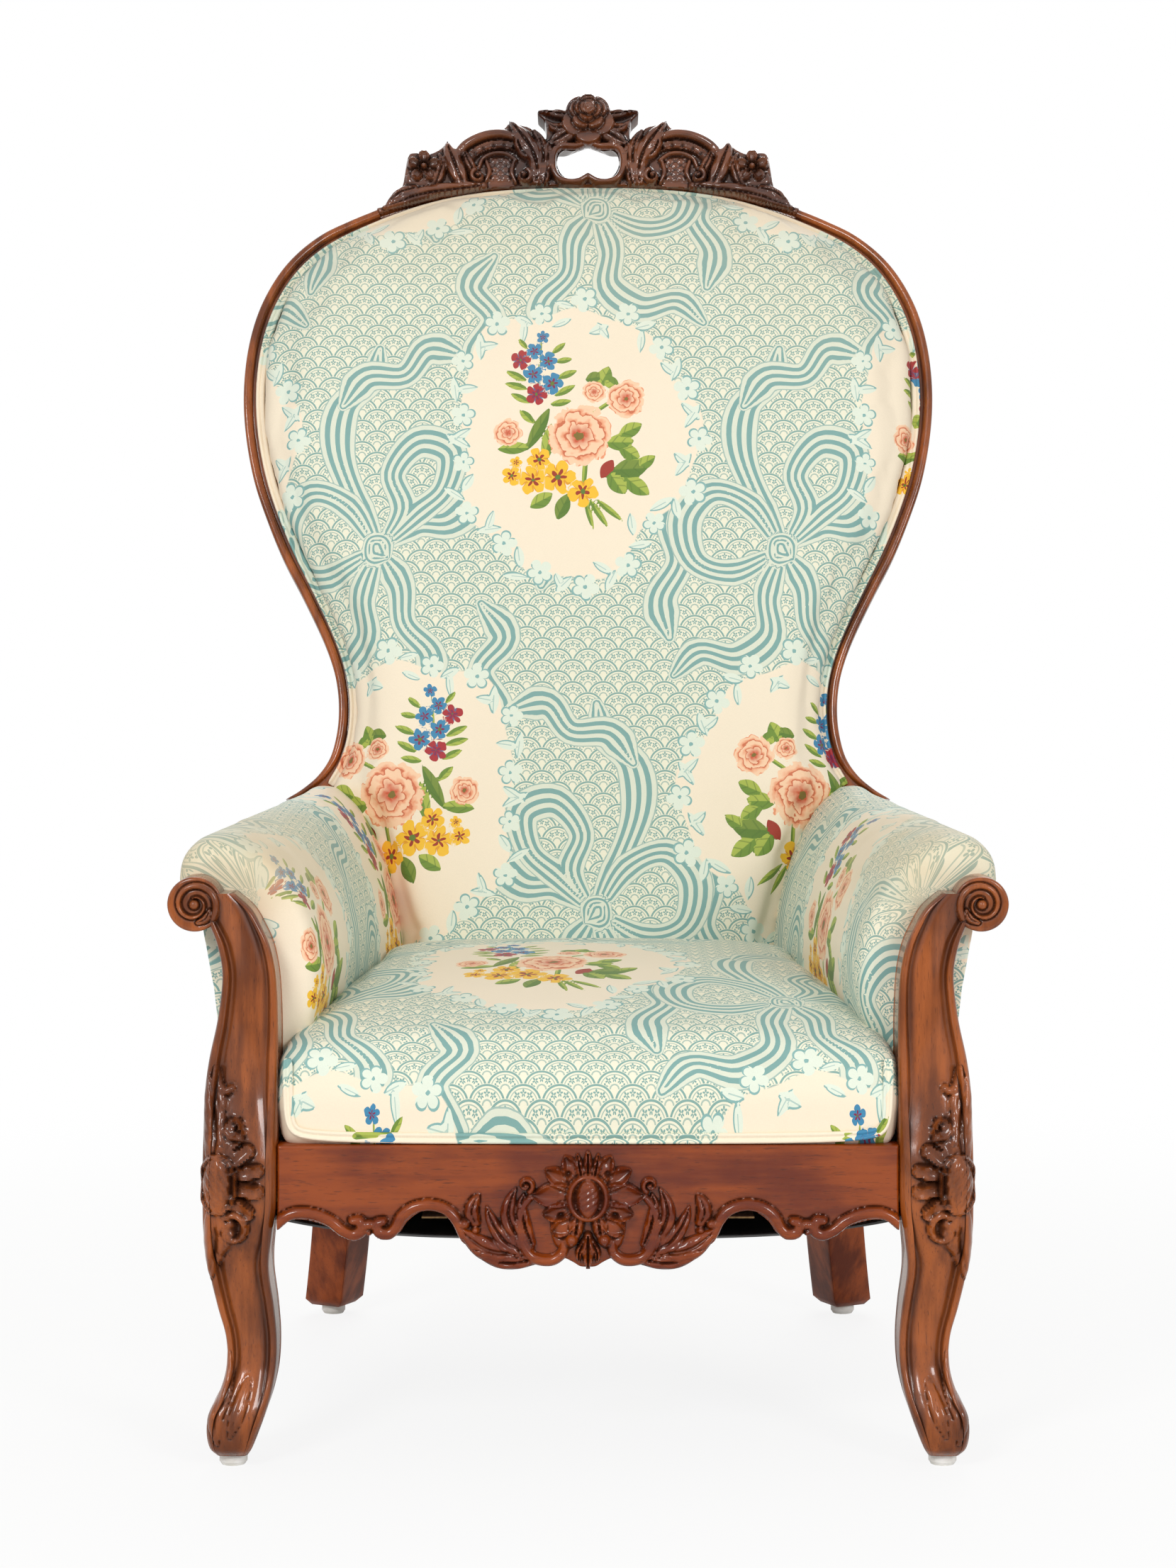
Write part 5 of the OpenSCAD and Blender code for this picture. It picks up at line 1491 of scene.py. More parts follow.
        return Relief(x, z, edge, high)

    def build(self, finish: bpy.types.Material) -> list[bpy.types.Object]:
        """Carve the crest and its rose.

        Args:
            finish: The dark walnut.

        Returns:
            The pieces.
        """
        plate = Board("carved_crest", *self.plate_box, 1.1, self.thick, self.plate, self.place)
        rose = Board("carved_rose", *self.rose_box, 0.8, 2.0, self.rose, self.place)
        return [report(wooden(piece_of("carved_crest", plate.mesh()), finish, "crest_wood", "crest_rail")),
                report(wooden(piece_of("carved_rose", rose.mesh()), finish, "crest_wood", "crest_rose"))]


@dataclass
class Apron:
    """The front rail with its moulded lower edge, and the cartouche glued to its middle."""

    half: float = 242.7
    top: float = 252.0
    height: float = 96.0
    face: float = 354.8
    thick: float = 26.0
    low: float = 155.6
    boss: Pair = (0, 212)
    box: tuple[Pair, Pair] = ((-104, 154), (104, 250))
    edge: tuple[Pair, ...] = (
        (1, 0.7), (0.972, 0.625), (0.93, 0.604), (0.88, 0.625), (0.836, 0.667), (0.8, 0.74), (0.758, 0.77),
        (0.725, 0.74), (0.7, 0.7), (0.672, 0.735), (0.64, 0.75), (0.606, 0.708), (0.58, 0.615), (0.536, 0.54),
        (0.486, 0.54), (0.437, 0.615), (0.408, 0.78), (0.363, 0.84), (0.309, 0.885), (0.247, 0.906),
        (0.19, 0.948), (0.132, 0.94), (0.082, 0.917), (0.05, 0.948), (0.025, 0.985), (0, 0.99))

    def place(self, p: Grid) -> Grid:
        """Stand points up: across, up and forward from the rail's face, in millimetres, to metres."""
        return np.column_stack([p[:, 0], -self.face - p[:, 2], p[:, 1]]) * MM

    def rail(self, x: Grid, z: Grid) -> Relief:
        """The rail's face, with beads along its edge and scrolls where they meet.

        Args:
            x: The points' places across.
            z: The points' places up.

        Returns:
            The relief.
        """
        low = smooth_line([(a * self.half, self.top - b * self.height) for a, b in self.edge[::-1]], 4)
        outline = np.vstack([low, ((self.half, self.top),), ((-self.half, self.top),), (low * (-1, 1))[::-1]])
        relief = Relief(np.abs(x), z, depth_in(outline, x, z))
        s, bead = Stroke, 4.6
        relief.carve([
            s(((244, 190, bead, 5), (236, 196.5, bead, 5), (226, 199.5, bead, 5), (213, 198, bead, 5),
               (201, 193, bead, 5), (192, 186, bead, 5), (183, 182.5, 5, 5.5), (176.5, 186.5, 5, 6),
               (178.5, 193, 4.5, 6.5), (184, 193.5, 3.5, 6.5))),
            s(((98, 182, 3.5, 4), (103, 194, bead, 5), (111, 202, bead, 5), (123, 205.5, bead, 5),
               (136, 203.5, bead, 5), (145, 197, bead, 5), (150.5, 188, bead, 5), (156, 183.2, 5, 5.5),
               (163, 184.5, 5, 6), (165, 190.5, 4.5, 6.5), (160, 193, 3.5, 6.5))),
            s(dot(171, 190, 4.2, 5)), s(dot(171.3, 184, 2.6, 4)),
            s(((88, 192, 4, 4), (91, 200, 5.5, 6.5), (89, 208, 4, 5), (86, 213, 1.5, 3)), Cut.LEAF),
            s(dot(96, 191, 3.8, 6.5)), s(dot(88, 186, 3.2, 5))])
        return relief.roll(2.0, 1.6)

    def cartouche(self, x: Grid, z: Grid) -> Relief:
        """The cartouche: a cabochon in a shell of lobes, with leaves and scrolls at its sides.

        Args:
            x: The points' places across.
            z: The points' places up.

        Returns:
            The relief.
        """
        relief = Relief(np.abs(x), z, np.full(x.shape, -9.0))
        s, leaf, cup = Stroke, Cut.LEAF, Cut.CUP
        relief.carve([
            s(((50, 170, 5, 5), (66, 169, 9, 7.5), (80, 172, 9.5, 7), (92, 180, 6, 5), (101, 188, 1.5, 3)),
              leaf, 5),
            s(((42, 164, 5, 5), (56, 161.5, 6, 7), (70, 162, 5.5, 6), (84, 167, 3, 4), (90, 170, 1, 2)), leaf, 4),
            s(((46, 168, 5, 5), (62, 176, 7, 7.5), (72, 188, 6, 7), (77, 198, 4, 5), (79, 205, 1.2, 3)), leaf, 4),
            s(((46, 172, 5, 6), (56, 184, 7.5, 8.5), (62, 198, 7, 8), (60, 211, 4.5, 6), (56, 219, 1.2, 3)),
              leaf, 4),
            s(((44, 176, 4, 6), (49, 190, 5.5, 8), (52, 204, 5, 7), (50, 214, 2, 4)), leaf, 3),
            s(((18, 178, 4.5, 8), (20, 169, 4.6, 8), (29, 163, 5, 8), (42, 165, 5, 8), (50, 174, 4.5, 8),
               (53.5, 188, 3.8, 7.5), (51, 203, 3.4, 7), (45, 212, 3.4, 7))),
            s(ring(48.5, 221.5, 5.6, 3.2, 8.5, 235, -430, 1, 0.7)), s(dot(48.5, 221.5, 2.5, 9)),
            s(((18, 180, 10, 6), (16, 190, 14, 6.5), (14, 212, 15, 6.5), (10, 232, 11, 6.5)), Cut.BEAD, 3, 0.6),
            s(((14, 214, 9, 8), (26, 214, 11, 9), (36, 213, 7, 8), (42.5, 213.5, 1.8, 6)), cup),
            s(((14, 222, 7, 8), (24, 228, 8, 9), (31, 232, 3.5, 8)), cup),
            s(((10, 226, 6, 8), (14, 236, 7, 9), (17, 242, 3, 8)), cup),
            s(((14, 203, 7, 8), (25, 200, 8, 9), (33, 199, 3, 8)), cup),
            s(((12, 196, 7, 8), (20, 189, 8, 9), (26, 186, 3.5, 8)), cup),
            s(((0, 228, 4, 9), (0, 238, 4.5, 10), (0, 246, 2.5, 8)), leaf),
            s(((5, 228, 3, 9), (7, 238, 3.6, 9.5), (8, 244.5, 1.8, 7)), leaf),
            s(((8, 196, 5, 9), (9, 188, 6, 10), (10, 182, 4, 9)), leaf),
            *[s(dot(hx, hz, 3.6, 6), Cut.GROOVE) for hx, hz in ((16, 230), (21, 198))],
            s(ring(*self.boss, 14.2, 3.0, 10.5, 0, 360, 1.16)),
            s(cabochon(*self.boss, 11, 13.5, 13), dig=0.0),
            s(((0, 182, 4, 8), (0, 172, 5.5, 11), (0, 164, 4.5, 10), (0, 157.5, 1.5, 6)), leaf, 2),
            s(((3, 178, 3, 8), (7, 169, 3.6, 9), (7, 162, 1.5, 6)), leaf, 2),
            s(dot(12.7, 179.5, 6, 13))])
        side, up = x - self.boss[0], z - self.boss[1]
        lined = np.hypot(side, up / 1.2) < 8
        relief.height += np.where(lined, 0.5 * np.sin((side * 0.6 - up) * 1.25), 0)
        return relief.roll(2.2, 2.2)

    def build(self, finish: bpy.types.Material) -> list[bpy.types.Object]:
        """Cut the rail and the cartouche.

        Args:
            finish: The walnut.

        Returns:
            The pieces.
        """
        rail = Board("moulded_front_rail", (-self.half, self.low), (self.half, self.top), 1.1, self.thick,
                     self.rail, self.place)
        cartouche = Board("carved_cartouche", *self.box, 0.8, -0.3, self.cartouche, self.place)
        front = piece_of("moulded_front_rail", rail.mesh())
        applied = piece_of("carved_cartouche", cartouche.mesh())
        return [report(wooden(front, finish, "show_wood", "front_rail")),
                report(wooden(applied, finish, "show_wood", "apron_cartouche"))]


@dataclass
class Loft:
    """A smooth shaft through closed sections in millimetres, with a number of faces between two of their points."""

    name: str
    sections: Grid
    around: int

    def mesh(self) -> bpy.types.Mesh:
        """Bend a grid round the sections and close its ends.

        Returns:
            The mesh, in metres.
        """
        closed = np.concatenate([self.sections[:, -1:], self.sections, self.sections[:, :2]], axis=1)
        t = np.arange(self.around)[None, None, :, None] / self.around
        a, b, c, d = (closed[:, k:closed.shape[1] - 3 + k, None] for k in range(4))
        rows = 0.5 * (2 * b + (c - a) * t + (2 * a - 5 * b + 4 * c - d) * t ** 2
                      + (3 * b - a - 3 * c + d) * t ** 3)
        rows = rows.reshape(len(rows), -1, 3)
        rows = np.concatenate([rows, rows[:, :1]], axis=1) * MM
        count, span = rows.shape[:2]
        mesh = bpy.data.meshes.new(self.name)
        bm = bmesh.new()
        bmesh.ops.create_grid(bm, x_segments=span - 1, y_segments=count - 1, size=0.5)
        for vert in bm.verts:
            vert.co = rows[round((vert.co.y + 0.5) * (count - 1)), round((vert.co.x + 0.5) * (span - 1))]
        bmesh.ops.remove_doubles(bm, verts=bm.verts, dist=0.00001)
        bmesh.ops.holes_fill(bm, edges=[edge for edge in bm.edges if edge.is_boundary], sides=0)
        bmesh.ops.recalc_face_normals(bm, faces=bm.faces)
        bm.to_mesh(mesh)
        bm.free()
        return mesh


def piece_of(name: str, *meshes: bpy.types.Mesh, flip: bool = False) -> bpy.types.Object:
    """One piece from meshes.

    Args:
        name: The piece.
        meshes: The meshes.
        flip: Whether it is the left-hand one.

    Returns:
        The piece.
    """
    bm = bmesh.new()
    for mesh in meshes:
        bm.from_mesh(mesh)
    if flip:
        bmesh.ops.scale(bm, vec=(-1, 1, 1), verts=bm.verts)
    whole = bpy.data.meshes.new(name)
    bm.to_mesh(whole)
    bm.free()
    obj = bpy.data.objects.new(name, whole)
    bpy.context.scene.collection.objects.link(obj)
    return obj


@dataclass
class FrontLeg:
    """A cabriole leg that goes on up as the arm's support and ends in a scroll."""

    side: str
    front: float = -364.8
    depth: float = 54.0
    outer: float = 293.0
    width: float = 50.0
    top: float = 439.5
    scroll: Pair = (308.5, 439.5)
    scroll_r: float = 21.5
    scroll_d: float = 36.0
    knee: Pair = (288.5, 222.9)
    hatch_r: float = 9.5
    hatch_tall: float = 1.7
    rows: tuple[tuple[float, ...], ...] = (
        (0.0205, -0.04, 0.46, 0.20, 0.76, 0), (0.036, 0.06, 0.38, 0.06, 0.83, 0),
        (0.064, 0.106, 0.28, 0, 0.89, 0.1), (0.096, 0.07, 0.18, 0, 0.86, 0.3),
        (0.132, -0.09, 0.09, 0.11, 0.89, 0.6),
        (0.177, -0.20, 0.03, 0.25, 0.935, 1), (0.228, -0.18, 0.02, 0.31, 0.97, 1),
        (0.284, -0.05, 0.06, 0.28, 0.97, 1), (0.353, 0.08, 0.13, 0.17, 0.97, 1),
        (0.410, 0.16, 0.08, 0.08, 0.99, 0.4), (0.466, 0.18, 0.01, 0.03, 1.02, 0.05),
        (0.535, 0.18, 0, 0.02, 1.03, 0), (0.590, 0.17, 0, 0.11, 1, 0.3), (0.660, 0.15, 0, 0.22, 1, 0.9),
        (0.724, 0.08, 0, 0.28, 1, 1), (0.796, -0.05, 0, 0.32, 1, 1), (0.869, -0.12, 0.03, 0.333, 1, 1),
        (0.922, -0.05, 0.12, 0.333, 1, 1), (0.960, 0.08, 0.26, 0.333, 1, 0.8), (0.992, 0.22, 0.42, 0.333, 1, 0.5),
        (1.019, 0.32, 0.68, 0.333, 1, 0))
    section: tuple[Pair, ...] = (
        (-1, -0.5), (-0.985, -0.84), (-0.90, -1), (-0.76, -0.98), (-0.68, -0.74), (-0.60, -0.68), (-0.36, -0.80),
        (0, -0.84), (0.36, -0.80), (0.60, -0.68), (0.68, -0.74), (0.76, -0.98), (0.90, -1), (0.985, -0.84),
        (1, -0.5), (1, 0.7), (0.85, 0.97), (-0.85, 0.97), (-1, 0.7))

    def sections(self) -> Grid:
        """The leg's sections from the toe to the scroll.

        Returns:
            Points in millimetres, a row of them to each section.
        """
        q = np.array(self.section)
        soft = q / ((q ** 4).sum(1) ** 0.25)[:, None]
        out = []
        for z, outer, inner, near, far, cut in smooth_line(self.rows, 15):
            p = soft + (q - soft) * min(max(cut, 0), 1)
            x1, x2 = self.outer - self.width * (1 - inner), self.outer + outer * self.width
            y1, y2 = self.front + near * self.depth, self.front + far * self.depth
            out.append(np.column_stack([x1 + (x2 - x1) * (p[:, 0] + 1) / 2, y1 + (y2 - y1) * (p[:, 1] + 1) / 2,
                                        np.full(len(p), z * self.top)]))
        return np.array(out)

    def carving(self) -> list[Stroke]:
        """Knee and toe.

        Returns:
            The strokes, the lowest first.
        """
        s, leaf, groove, cup = Stroke, Cut.LEAF, Cut.GROOVE, Cut.CUP
        return [
            s(((292, 238, 5, 4), (290, 252, 9.5, 7), (291, 270, 9, 7), (294, 290, 6, 5), (296, 306, 1.5, 2)),
              leaf, 5),
            s(((290, 268, 3, 5), (287, 284, 4.5, 6), (290, 300, 4.2, 5.5), (291, 312, 2, 3))),
            s(((290, 300, 2, 4), (284, 294, 3.6, 6), (279, 296, 3, 5)), Cut.BEAD),
            s(((291, 206, 5, 4), (290, 192, 9.5, 7), (291, 175, 9, 6.5), (294, 159, 5.5, 5), (295.5, 147, 1.2, 2)),
              leaf, 4),
            s(((284, 242, 3.5, 4), (279, 252, 5.5, 7), (274, 261, 6, 8), (275, 269, 5, 7)), cup, dig=2.0),
            s(ring(276, 266, 7.5, 3.0, 8, 250, 330, 1, 0.55), dig=2.0), s(dot(277, 266, 2.2, 8)),
            s(((280, 236, 3.5, 5), (272, 243, 6, 7.5), (266, 248, 5.8, 7)), cup, dig=2.0),
            s(((280, 212, 3.5, 5), (272, 205, 6.2, 7.5), (266, 200, 5.8, 7)), cup, dig=2.0),
            s(((276, 231, 3.5, 5), (266, 232, 5.5, 8), (258, 233, 5.2, 7)), cup, dig=2.0),
            s(((276, 219, 3.5, 5), (266, 218, 5.5, 8), (258, 217, 5.2, 7)), cup, dig=2.0),
            s(((284, 205, 4, 5), (281, 192, 6, 7), (282, 180, 6, 7), (286, 170, 3, 4)), leaf, 3),
            s(ring(276.5, 188, 10.5, 3.4, 8, 60, 290, 1.15, 0.35), dig=2.0), s(dot(277, 188, 3.6, 4), groove),
            s(ring(*self.knee, 14.0, 1.7, 9.0, 0, 360, 1.58), dig=1.6),
            s(ring(*self.knee, 12.2, 0.7, 1.4, 0, 360, 1.6), groove),
            s(cabochon(*self.knee, 12.2, 20.5, 10.5), dig=0.0),
            s(((281, 88, 2, 1), (283, 72, 5.5, 3.6), (288, 55, 8, 4), (291, 40, 6.5, 3), (289, 20, 1.5, 1)),
              leaf, 5),
            s(((266, 68, 2, 1), (269, 58, 4.5, 3), (274, 42, 5.5, 3), (279, 26, 1.5, 1)), leaf, 3),
        ]

    def spiral(self, x: Grid, z: Grid) -> Relief:
        """The scroll's face, with a band that winds into a button and a small leaf.

        Args:
            x: The points' places across.
            z: The points' places up.

        Returns:
            The relief.
        """
        cx, cz = self.scroll
        relief = Relief(x, z, self.scroll_r - np.hypot(x - cx, z - cz))
        relief.roll(2.6, 2.4)
        s, r = Stroke, self.scroll_r
        relief.carve([
            s(ring(cx, cz, r * 0.83, 3.0, 3.6, 215, -500, 1, 0.72)),
            s(dot(cx, cz, 4.2, 5.0)),
            s(((cx - 12, cz - 5, 1.6, 3), (cx - 9, cz - 11, 3.2, 4), (cx - 3, cz - 14, 2, 3)), Cut.LEAF, 2),
        ])
        return relief

    def place(self, p: Grid) -> Grid:
        """Stand points of the scroll up: across, up and forward from its face, in millimetres, to metres."""
        return np.column_stack([p[:, 0], self.front + self.depth - self.scroll_d - p[:, 2], p[:, 1]]) * MM

    def build(self, finish: bpy.types.Material) -> bpy.types.Object:
        """Loft the leg, carve it and join its scroll on.

        Args:
            finish: The walnut.

        Returns:
            The piece.
        """
        mesh = Loft("shaft", self.sections(), 6).mesh()
        p = coords(mesh)
        normal = coords(mesh, "normal")
        facing = np.clip(0.35 - 1.7 * normal[:, 1], 0, 1)[:, None]
        relief = Relief(p[:, 0] / MM, p[:, 2] / MM, np.zeros(len(p)))
        relief.carve(self.carving())
        side, up = p[:, 0] / MM - self.knee[0], p[:, 2] / MM - self.knee[1]
        hatch = np.hypot(side, up / self.hatch_tall) < self.hatch_r
        relief.height += np.where(hatch, 1.1 * np.sin((p[:, 0] - p[:, 2] * 0.6) / MM * 1.1), 0)
        p += normal * (0.2, 1, 0.3) * np.maximum(relief.height, -2.0)[:, None] * facing * MM
        mesh.vertices.foreach_set("co", p.astype(np.float32).ravel())
        low, high = (tuple(at + way * (self.scroll_r + 2) for at in self.scroll) for way in (-1, 1))
        scroll = Board("scroll", low, high, 0.6, self.scroll_d, self.spiral, self.place).mesh()
        obj = piece_of(f"carved_front_leg_{self.side}", mesh, scroll, flip=self.side == "left")
        return report(wooden(obj, finish, "show_wood", f"front_leg_{self.side}"))


@dataclass
class Stile:
    """One side of the hooped back, from the ear over the arm up to the crest, with a bead on its edge."""

    side: str
    width: float = 45.0
    thick: float = 26.0
    bead: Pair = (8.5, 6.0)
    half: float = 331.0
    length: float = 949.0
    bow: float = 34.0
    hoop: tuple[Pair, ...] = (
        (0.712, 0.338), (0.7155, 0.362), (0.730, 0.386), (0.762, 0.416), (0.819, 0.457), (0.879, 0.497),
        (0.927, 0.537), (0.965, 0.576), (0.991, 0.622), (1, 0.666), (0.991, 0.711), (0.964, 0.752), (0.918, 0.788),
        (0.861, 0.816), (0.785, 0.840), (0.701, 0.857), (0.625, 0.870))
    ear: tuple[tuple[float, ...], ...] = (
        (0.855, 0.252, 0.59, 0.248), (0.812, 0.262, 0.578, 0.264), (0.768, 0.276, 0.574, 0.280),
        (0.735, 0.294, 0.572, 0.298), (0.718, 0.316, 0.572, 0.318))

    def sections(self) -> Grid:
        """The stile's sections from its foot over the ear and up the hoop.

        Returns:
            Points in millimetres, a row of them to each section.
        """
        line = np.array(self.hoop) * (self.half, self.length)
        way = np.gradient(line, axis=0)
        way /= np.linalg.norm(way, axis=1, keepdims=True)
        inner = line + self.width * np.column_stack([-way[:, 1], way[:, 0]])
        ears = np.array(self.ear) * (self.half, self.length, self.half, self.length)
        out = []
        for x1, z1, x2, z2 in smooth_line(np.vstack([ears, np.hstack([line, inner])]), 6):
            start, span = np.array((x1, z1)), np.array((x2 - x1, z2 - z1))
            across = span / np.linalg.norm(span)
            points = [(across * a * self.bead[0], b * self.bead[1]) for a, b in
                      ((0.02, -0.15), (0.06, -0.6), (0.25, -0.92), (0.5, -1), (0.75, -0.92), (0.94, -0.6),
                       (1.05, 0.05))]
            points += [(span * a, b * self.thick) for a, b in
                       ((0.28, 0), (0.96, 0), (1, 0.06), (1, 0.94), (0.96, 1), (0.16, 1), (0.03, 0.9), (0, 0.7),
                        (0, 0.1))]
            out.append([self.stand(start + move, depth) for move, depth in points])
        return np.array(out)

    def stand(self, at: Grid, depth: float) -> tuple[float, float, float]:
        """A place on the back, as millimetres in the chair.

        Args:
            at: How far across the back and up it.
            depth: How far behind its face.

        Returns:
            Across, back and up.
        """
        d = depth - self.bow * (at[0] / self.half) ** 2
        return (at[0], BACK_Y / MM + d * math.cos(RAKE) + at[1] * math.sin(RAKE),
                RAIL_TOP / MM - d * math.sin(RAKE) + at[1] * math.cos(RAKE))

    def build(self, finish: bpy.types.Material) -> bpy.types.Object:
        """Shape the stile.

        Args:
            finish: The walnut.

        Returns:
            The piece.
        """
        mesh = Loft("stile", self.sections(), 4).mesh()
        obj = piece_of(f"shaped_stile_{self.side}", mesh, flip=self.side == "left")
        return report(wooden(obj, finish, "show_wood", f"back_stile_{self.side}"))


@dataclass
class RearLeg:
    """A square leg that kicks back to its foot, under a straight post. Only the leg shows."""

    side: str
    width: float = 40.0
    turn: float = 28.0
    foot: float = 9.0
    rail: Pair = (192.0, 252.0)
    at: Pair = (225.2, 145.2)
    kick: Pair = (18.24, 76.0)

    def sections(self) -> Grid:
        """The leg's sections, turned outwards below the rail.

        Returns:
            Points in millimetres, a row of them to each section.
        """
        corners = np.array([(-1, -0.8), (-0.97, -0.97), (-0.8, -1), (0.8, -1), (0.97, -0.97), (1, -0.8), (1, 0.8),
                            (0.97, 0.97), (0.8, 1), (-0.8, 1), (-0.97, 0.97), (-1, 0.8)])
        out = []
        for k in np.linspace(0, 1, 40):
            z = self.foot + k * (self.rail[1] - self.foot)
            bend = max(0.0, 1 - z / self.rail[0]) ** 1.7
            size = self.width * (0.5 - 0.12 * max(0.0, 1 - (z - self.foot) / 4) ** 2)
            a = math.radians(self.turn) * min(1.0, max(0.0, (self.rail[0] - z) / 28))
            p = corners * size @ np.array([(math.cos(a), math.sin(a)), (-math.sin(a), math.cos(a))])
            out.append(np.column_stack([p[:, 0] + self.at[0] + self.kick[0] * bend,
                                        p[:, 1] + self.at[1] + self.kick[1] * bend, np.full(len(p), z)]))
        return np.array(out)

    def build(self, finish: bpy.types.Material) -> bpy.types.Object:
        """Shape the leg, and keep the frame's own post above it.

        Args:
            finish: The plainer walnut.

        Returns:
            The piece.
        """
        post = copy_of(f"rear_leg_{self.side}", "post")
        bm = bmesh.new()
        bm.from_mesh(post.data)
        bpy.data.objects.remove(post)
        if self.side == "left":
            bmesh.ops.scale(bm, vec=(-1, 1, 1), verts=bm.verts)
        cut = bmesh.ops.bisect_plane(bm, geom=bm.verts[:] + bm.edges[:] + bm.faces[:], clear_inner=True,
                                     plane_co=(0, 0, (self.rail[1] - 0.5) * MM), plane_no=(0, 0, 1))
        bmesh.ops.holes_fill(bm, edges=[e for e in cut["geom_cut"] if isinstance(e, bmesh.types.BMEdge)], sides=0)
        upper = bpy.data.meshes.new("post")
        bm.to_mesh(upper)
        bm.free()
        lower = Loft("leg", self.sections(), 3).mesh()
        obj = piece_of(f"shaped_rear_leg_{self.side}", lower, upper, flip=self.side == "left")
        return report(wooden(obj, finish, "show_wood", f"rear_leg_{self.side}"))


@dataclass
class ShowWood:
    """All the polished wood that shows."""

    crest: Timber = Timber("crest_walnut", "78401f", "431b06", "140501", (5.0, 60.0, 60.0), 0.2, 0.8)
    leg: Timber = Timber("leg_walnut", "a25522", "66300d", "240c03", rough=0.2, coat=0.42)
    rail: Timber = Timber("rail_walnut", "92400a", "642103", "240c03", (5.0, 60.0, 60.0), 0.2, 0.36)
    plain: Timber = Timber("rear_walnut", "9c4a1e", "5e240a", "2e1206", rough=0.4, coat=0.0)

    def build(self) -> list[bpy.types.Object]:
        """Make the crest, the rail, the stiles and the legs.

        Returns:
            The pieces.
        """
        crest, leg, rail, plain = (t.material() for t in (self.crest, self.leg, self.rail, self.plain))
        pieces = [*Crest().build(crest), *Apron().build(rail)]
        for side in ("left", "right"):
            pieces += [FrontLeg(side).build(leg), Stile(side).build(leg), RearLeg(side).build(plain)]
        for name in ("side_rail_left", "side_rail_right", "back_seat_rail"):
            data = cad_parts[name].data
            data.materials.clear()
            data.materials.append(plain)
        return pieces


def dress() -> None:
    """Give the frame's own solids their finishes."""
    beech = Timber("frame_beech", "c79d6c", "a87d4e", "7a5632", (40.0, 40.0, 6.0), 0.7, 0.0)
    jute = Cloth("jute_hessian", "b39465", "8a6c43", threads=420.0)
    steel = Metal("blued_steel", "8b8d90", "5d5f63")
    nylon = Metal("white_nylon", "f1f0ec", "e2e0d9", 0.4, 0.0)
    table = {
        beech: ("back_lower_rail", "corner_blocks", "arm_rail_left", "arm_rail_right", "rail_dowels"),
        jute: ("seat_webbing", "back_webbing", "spring_hessian", "back_hessian"),
        steel: ("seat_springs", "block_screws"), nylon: ("glides",)}
    for finish, nodes in table.items():
        material = finish.material()
        for node in nodes:
            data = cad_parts[node].data
            data.materials.clear()
            data.materials.append(material)
            log.info("%s: %s", node, finish.name)


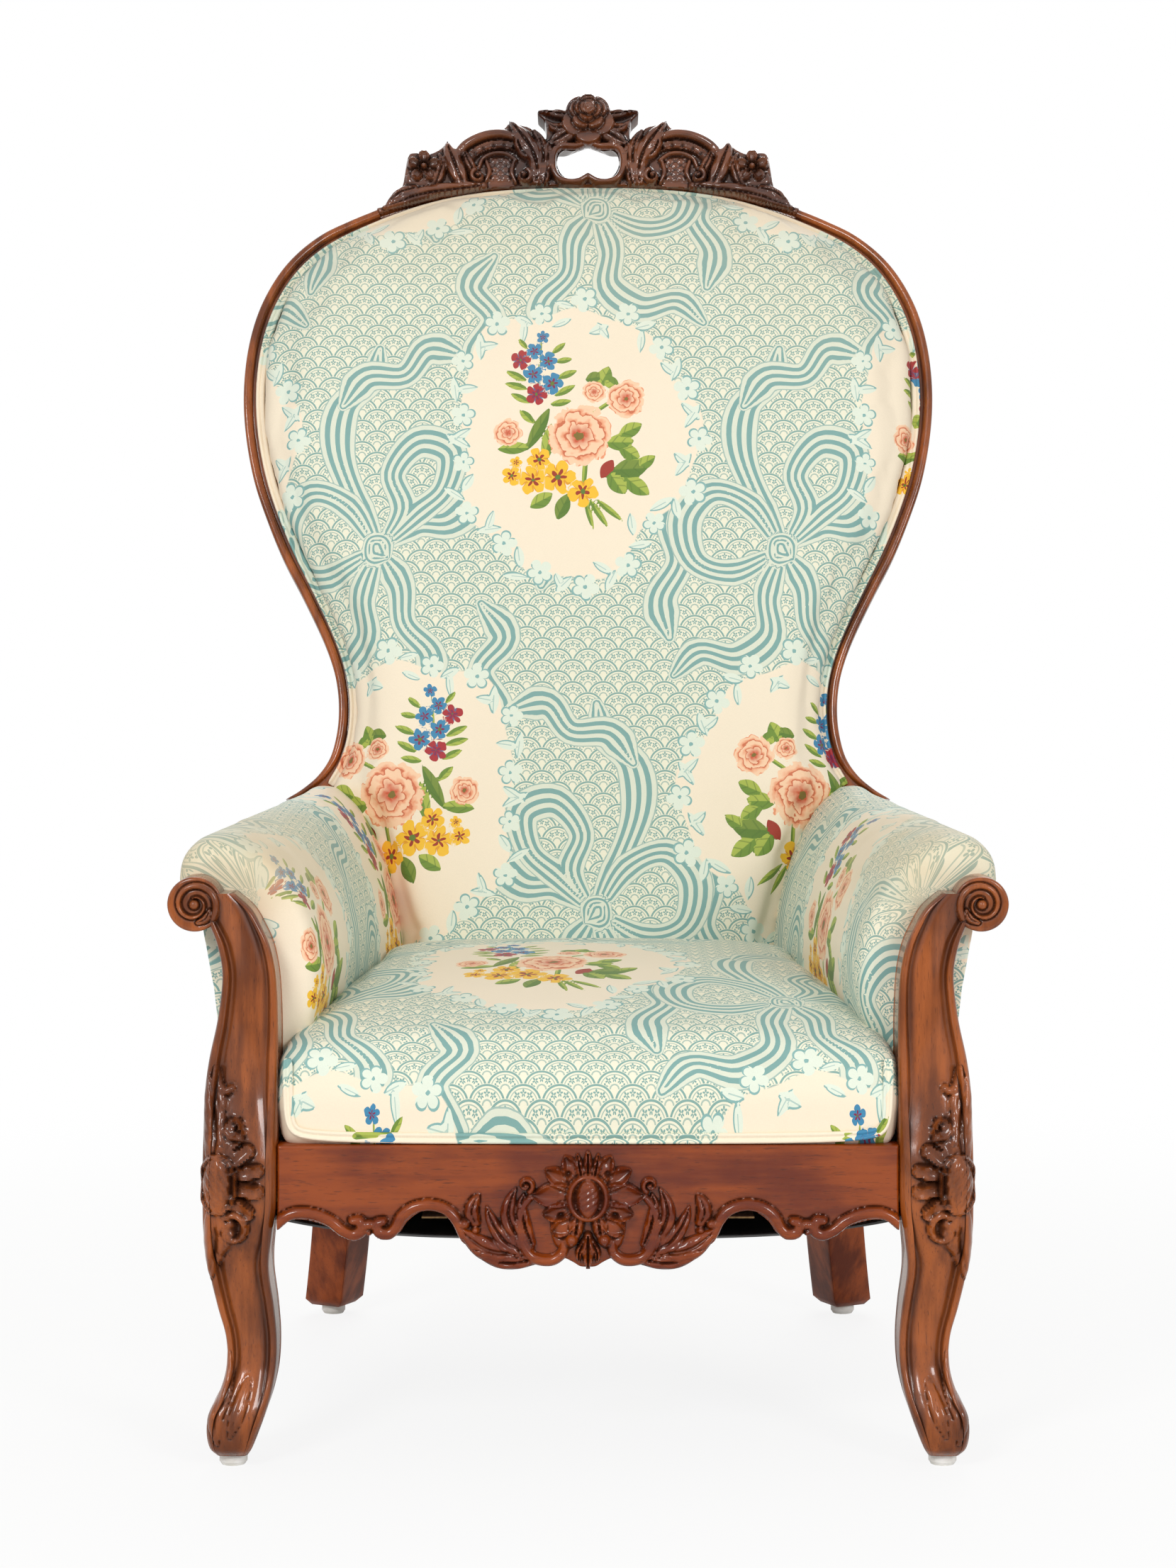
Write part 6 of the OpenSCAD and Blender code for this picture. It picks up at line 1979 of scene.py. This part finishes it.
@dataclass
class Studio:
    """A pale floor that melts into a white ground, three soft lamps and the camera, which looks level."""

    eye: tuple[float, float, float] = (0.0, -2.963, 0.680)
    focal_pixels: float = 4711.0
    drop_pixels: float = -263.0
    frame_pixels: float = 2212.0
    sensor: float = 36.0
    lamps: tuple[tuple[str, tuple[float, float, float], float, float], ...] = (
        ("key", (-1.3, -2.9, 2.1), 44.0, 0.8), ("fill", (1.7, -2.8, 1.5), 28.0, 0.7),
        ("back", (0.2, 2.2, 2.4), 26.0, 2.0))
    floor_half: float = 40.0

    def build(self) -> None:
        """Set the studio up."""
        self.floor()
        self.world()
        for lamp in self.lamps:
            self.lamp(*lamp)
        camera = bpy.data.cameras.new("camera")
        camera.sensor_fit = "VERTICAL"
        camera.sensor_height = self.sensor
        camera.lens = self.focal_pixels / self.frame_pixels * self.sensor
        camera.shift_y = self.drop_pixels / self.frame_pixels
        obj = bpy.data.objects.new("camera", camera)
        obj.location = self.eye
        obj.rotation_euler = (math.radians(90), 0, 0)
        bpy.context.scene.collection.objects.link(obj)
        bpy.context.scene.camera = obj
        bpy.context.scene.view_settings.view_transform = "Standard"

    def lamp(self, name: str, at: tuple[float, float, float], power: float, size: float) -> None:
        """Hang a square soft lamp that points at the chair.

        Args:
            name: The lamp.
            at: Where it hangs.
            power: Watts.
            size: Its side.
        """
        light = bpy.data.lights.new(name, "AREA")
        light.energy = power
        light.size = size
        obj = bpy.data.objects.new(name, light)
        obj.location = at
        obj.rotation_euler = (Vector((0, 0, 0.6)) - Vector(at)).to_track_quat("-Z", "Y").to_euler()
        bpy.context.scene.collection.objects.link(obj)

    def floor(self) -> None:
        """Lay the floor."""
        mesh = bpy.data.meshes.new("floor")
        bm = bmesh.new()
        bmesh.ops.create_grid(bm, x_segments=1, y_segments=1, size=self.floor_half)
        bm.to_mesh(mesh)
        bm.free()
        obj = bpy.data.objects.new("floor", mesh)
        bpy.context.scene.collection.objects.link(obj)
        shade = Shade("floor_paper")
        grain = shade.noise(40.0, 2.0)
        shade.finish(shade.blend(grain, tone("f4f4f2"), tone("f6f6f4")), 0.9)
        glow = shade.tree.nodes.new("ShaderNodeEmission")
        path = shade.tree.nodes.new("ShaderNodeLightPath")
        mix = shade.tree.nodes.new("ShaderNodeMixShader")
        reach = shade.tree.nodes.new("ShaderNodeVectorMath")
        reach.operation = "LENGTH"
        shade.tree.links.new(shade.place(), reach.inputs[0])
        far = shade.wire(reach.outputs["Value"]).ramp(0.5, 1.7)
        share = shade.wire(path.outputs["Is Camera Ray"]) * (far * 0.14 + 0.86)
        shade.tree.links.new(share.socket, mix.inputs[0])
        shade.tree.links.new(shade.shader.outputs[0], mix.inputs[1])
        shade.tree.links.new(glow.outputs[0], mix.inputs[2])
        shade.tree.links.new(mix.outputs[0], shade.tree.nodes["Material Output"].inputs["Surface"])
        mesh.materials.append(shade.material)

    def world(self) -> None:
        """White to the camera and in reflections, softer as light."""
        world = bpy.data.worlds.new("studio")
        world.use_nodes = True
        tree = world.node_tree
        back = tree.nodes["Background"]
        back.inputs["Color"].default_value = (1, 1, 1, 1)
        path = tree.nodes.new("ShaderNodeLightPath")
        seen = Wire(tree, path.outputs["Is Camera Ray"]).math("ADD", Wire(tree, path.outputs["Is Glossy Ray"]))
        seen = seen.math("ADD", Wire(tree, path.outputs["Is Transmission Ray"])).math("MINIMUM", 1.0)
        power = seen * 0.5 + 0.5
        tree.links.new(power.socket, back.inputs["Strength"])
        bpy.context.scene.world = world


def main() -> None:
    """Build the chair and its studio in order."""
    logging.basicConfig(level=logging.INFO, format="%(message)s")
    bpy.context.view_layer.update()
    dress()
    ShowWood().build()
    Upholstery().build()
    Studio().build()


if __name__ == "__main__":
    main()
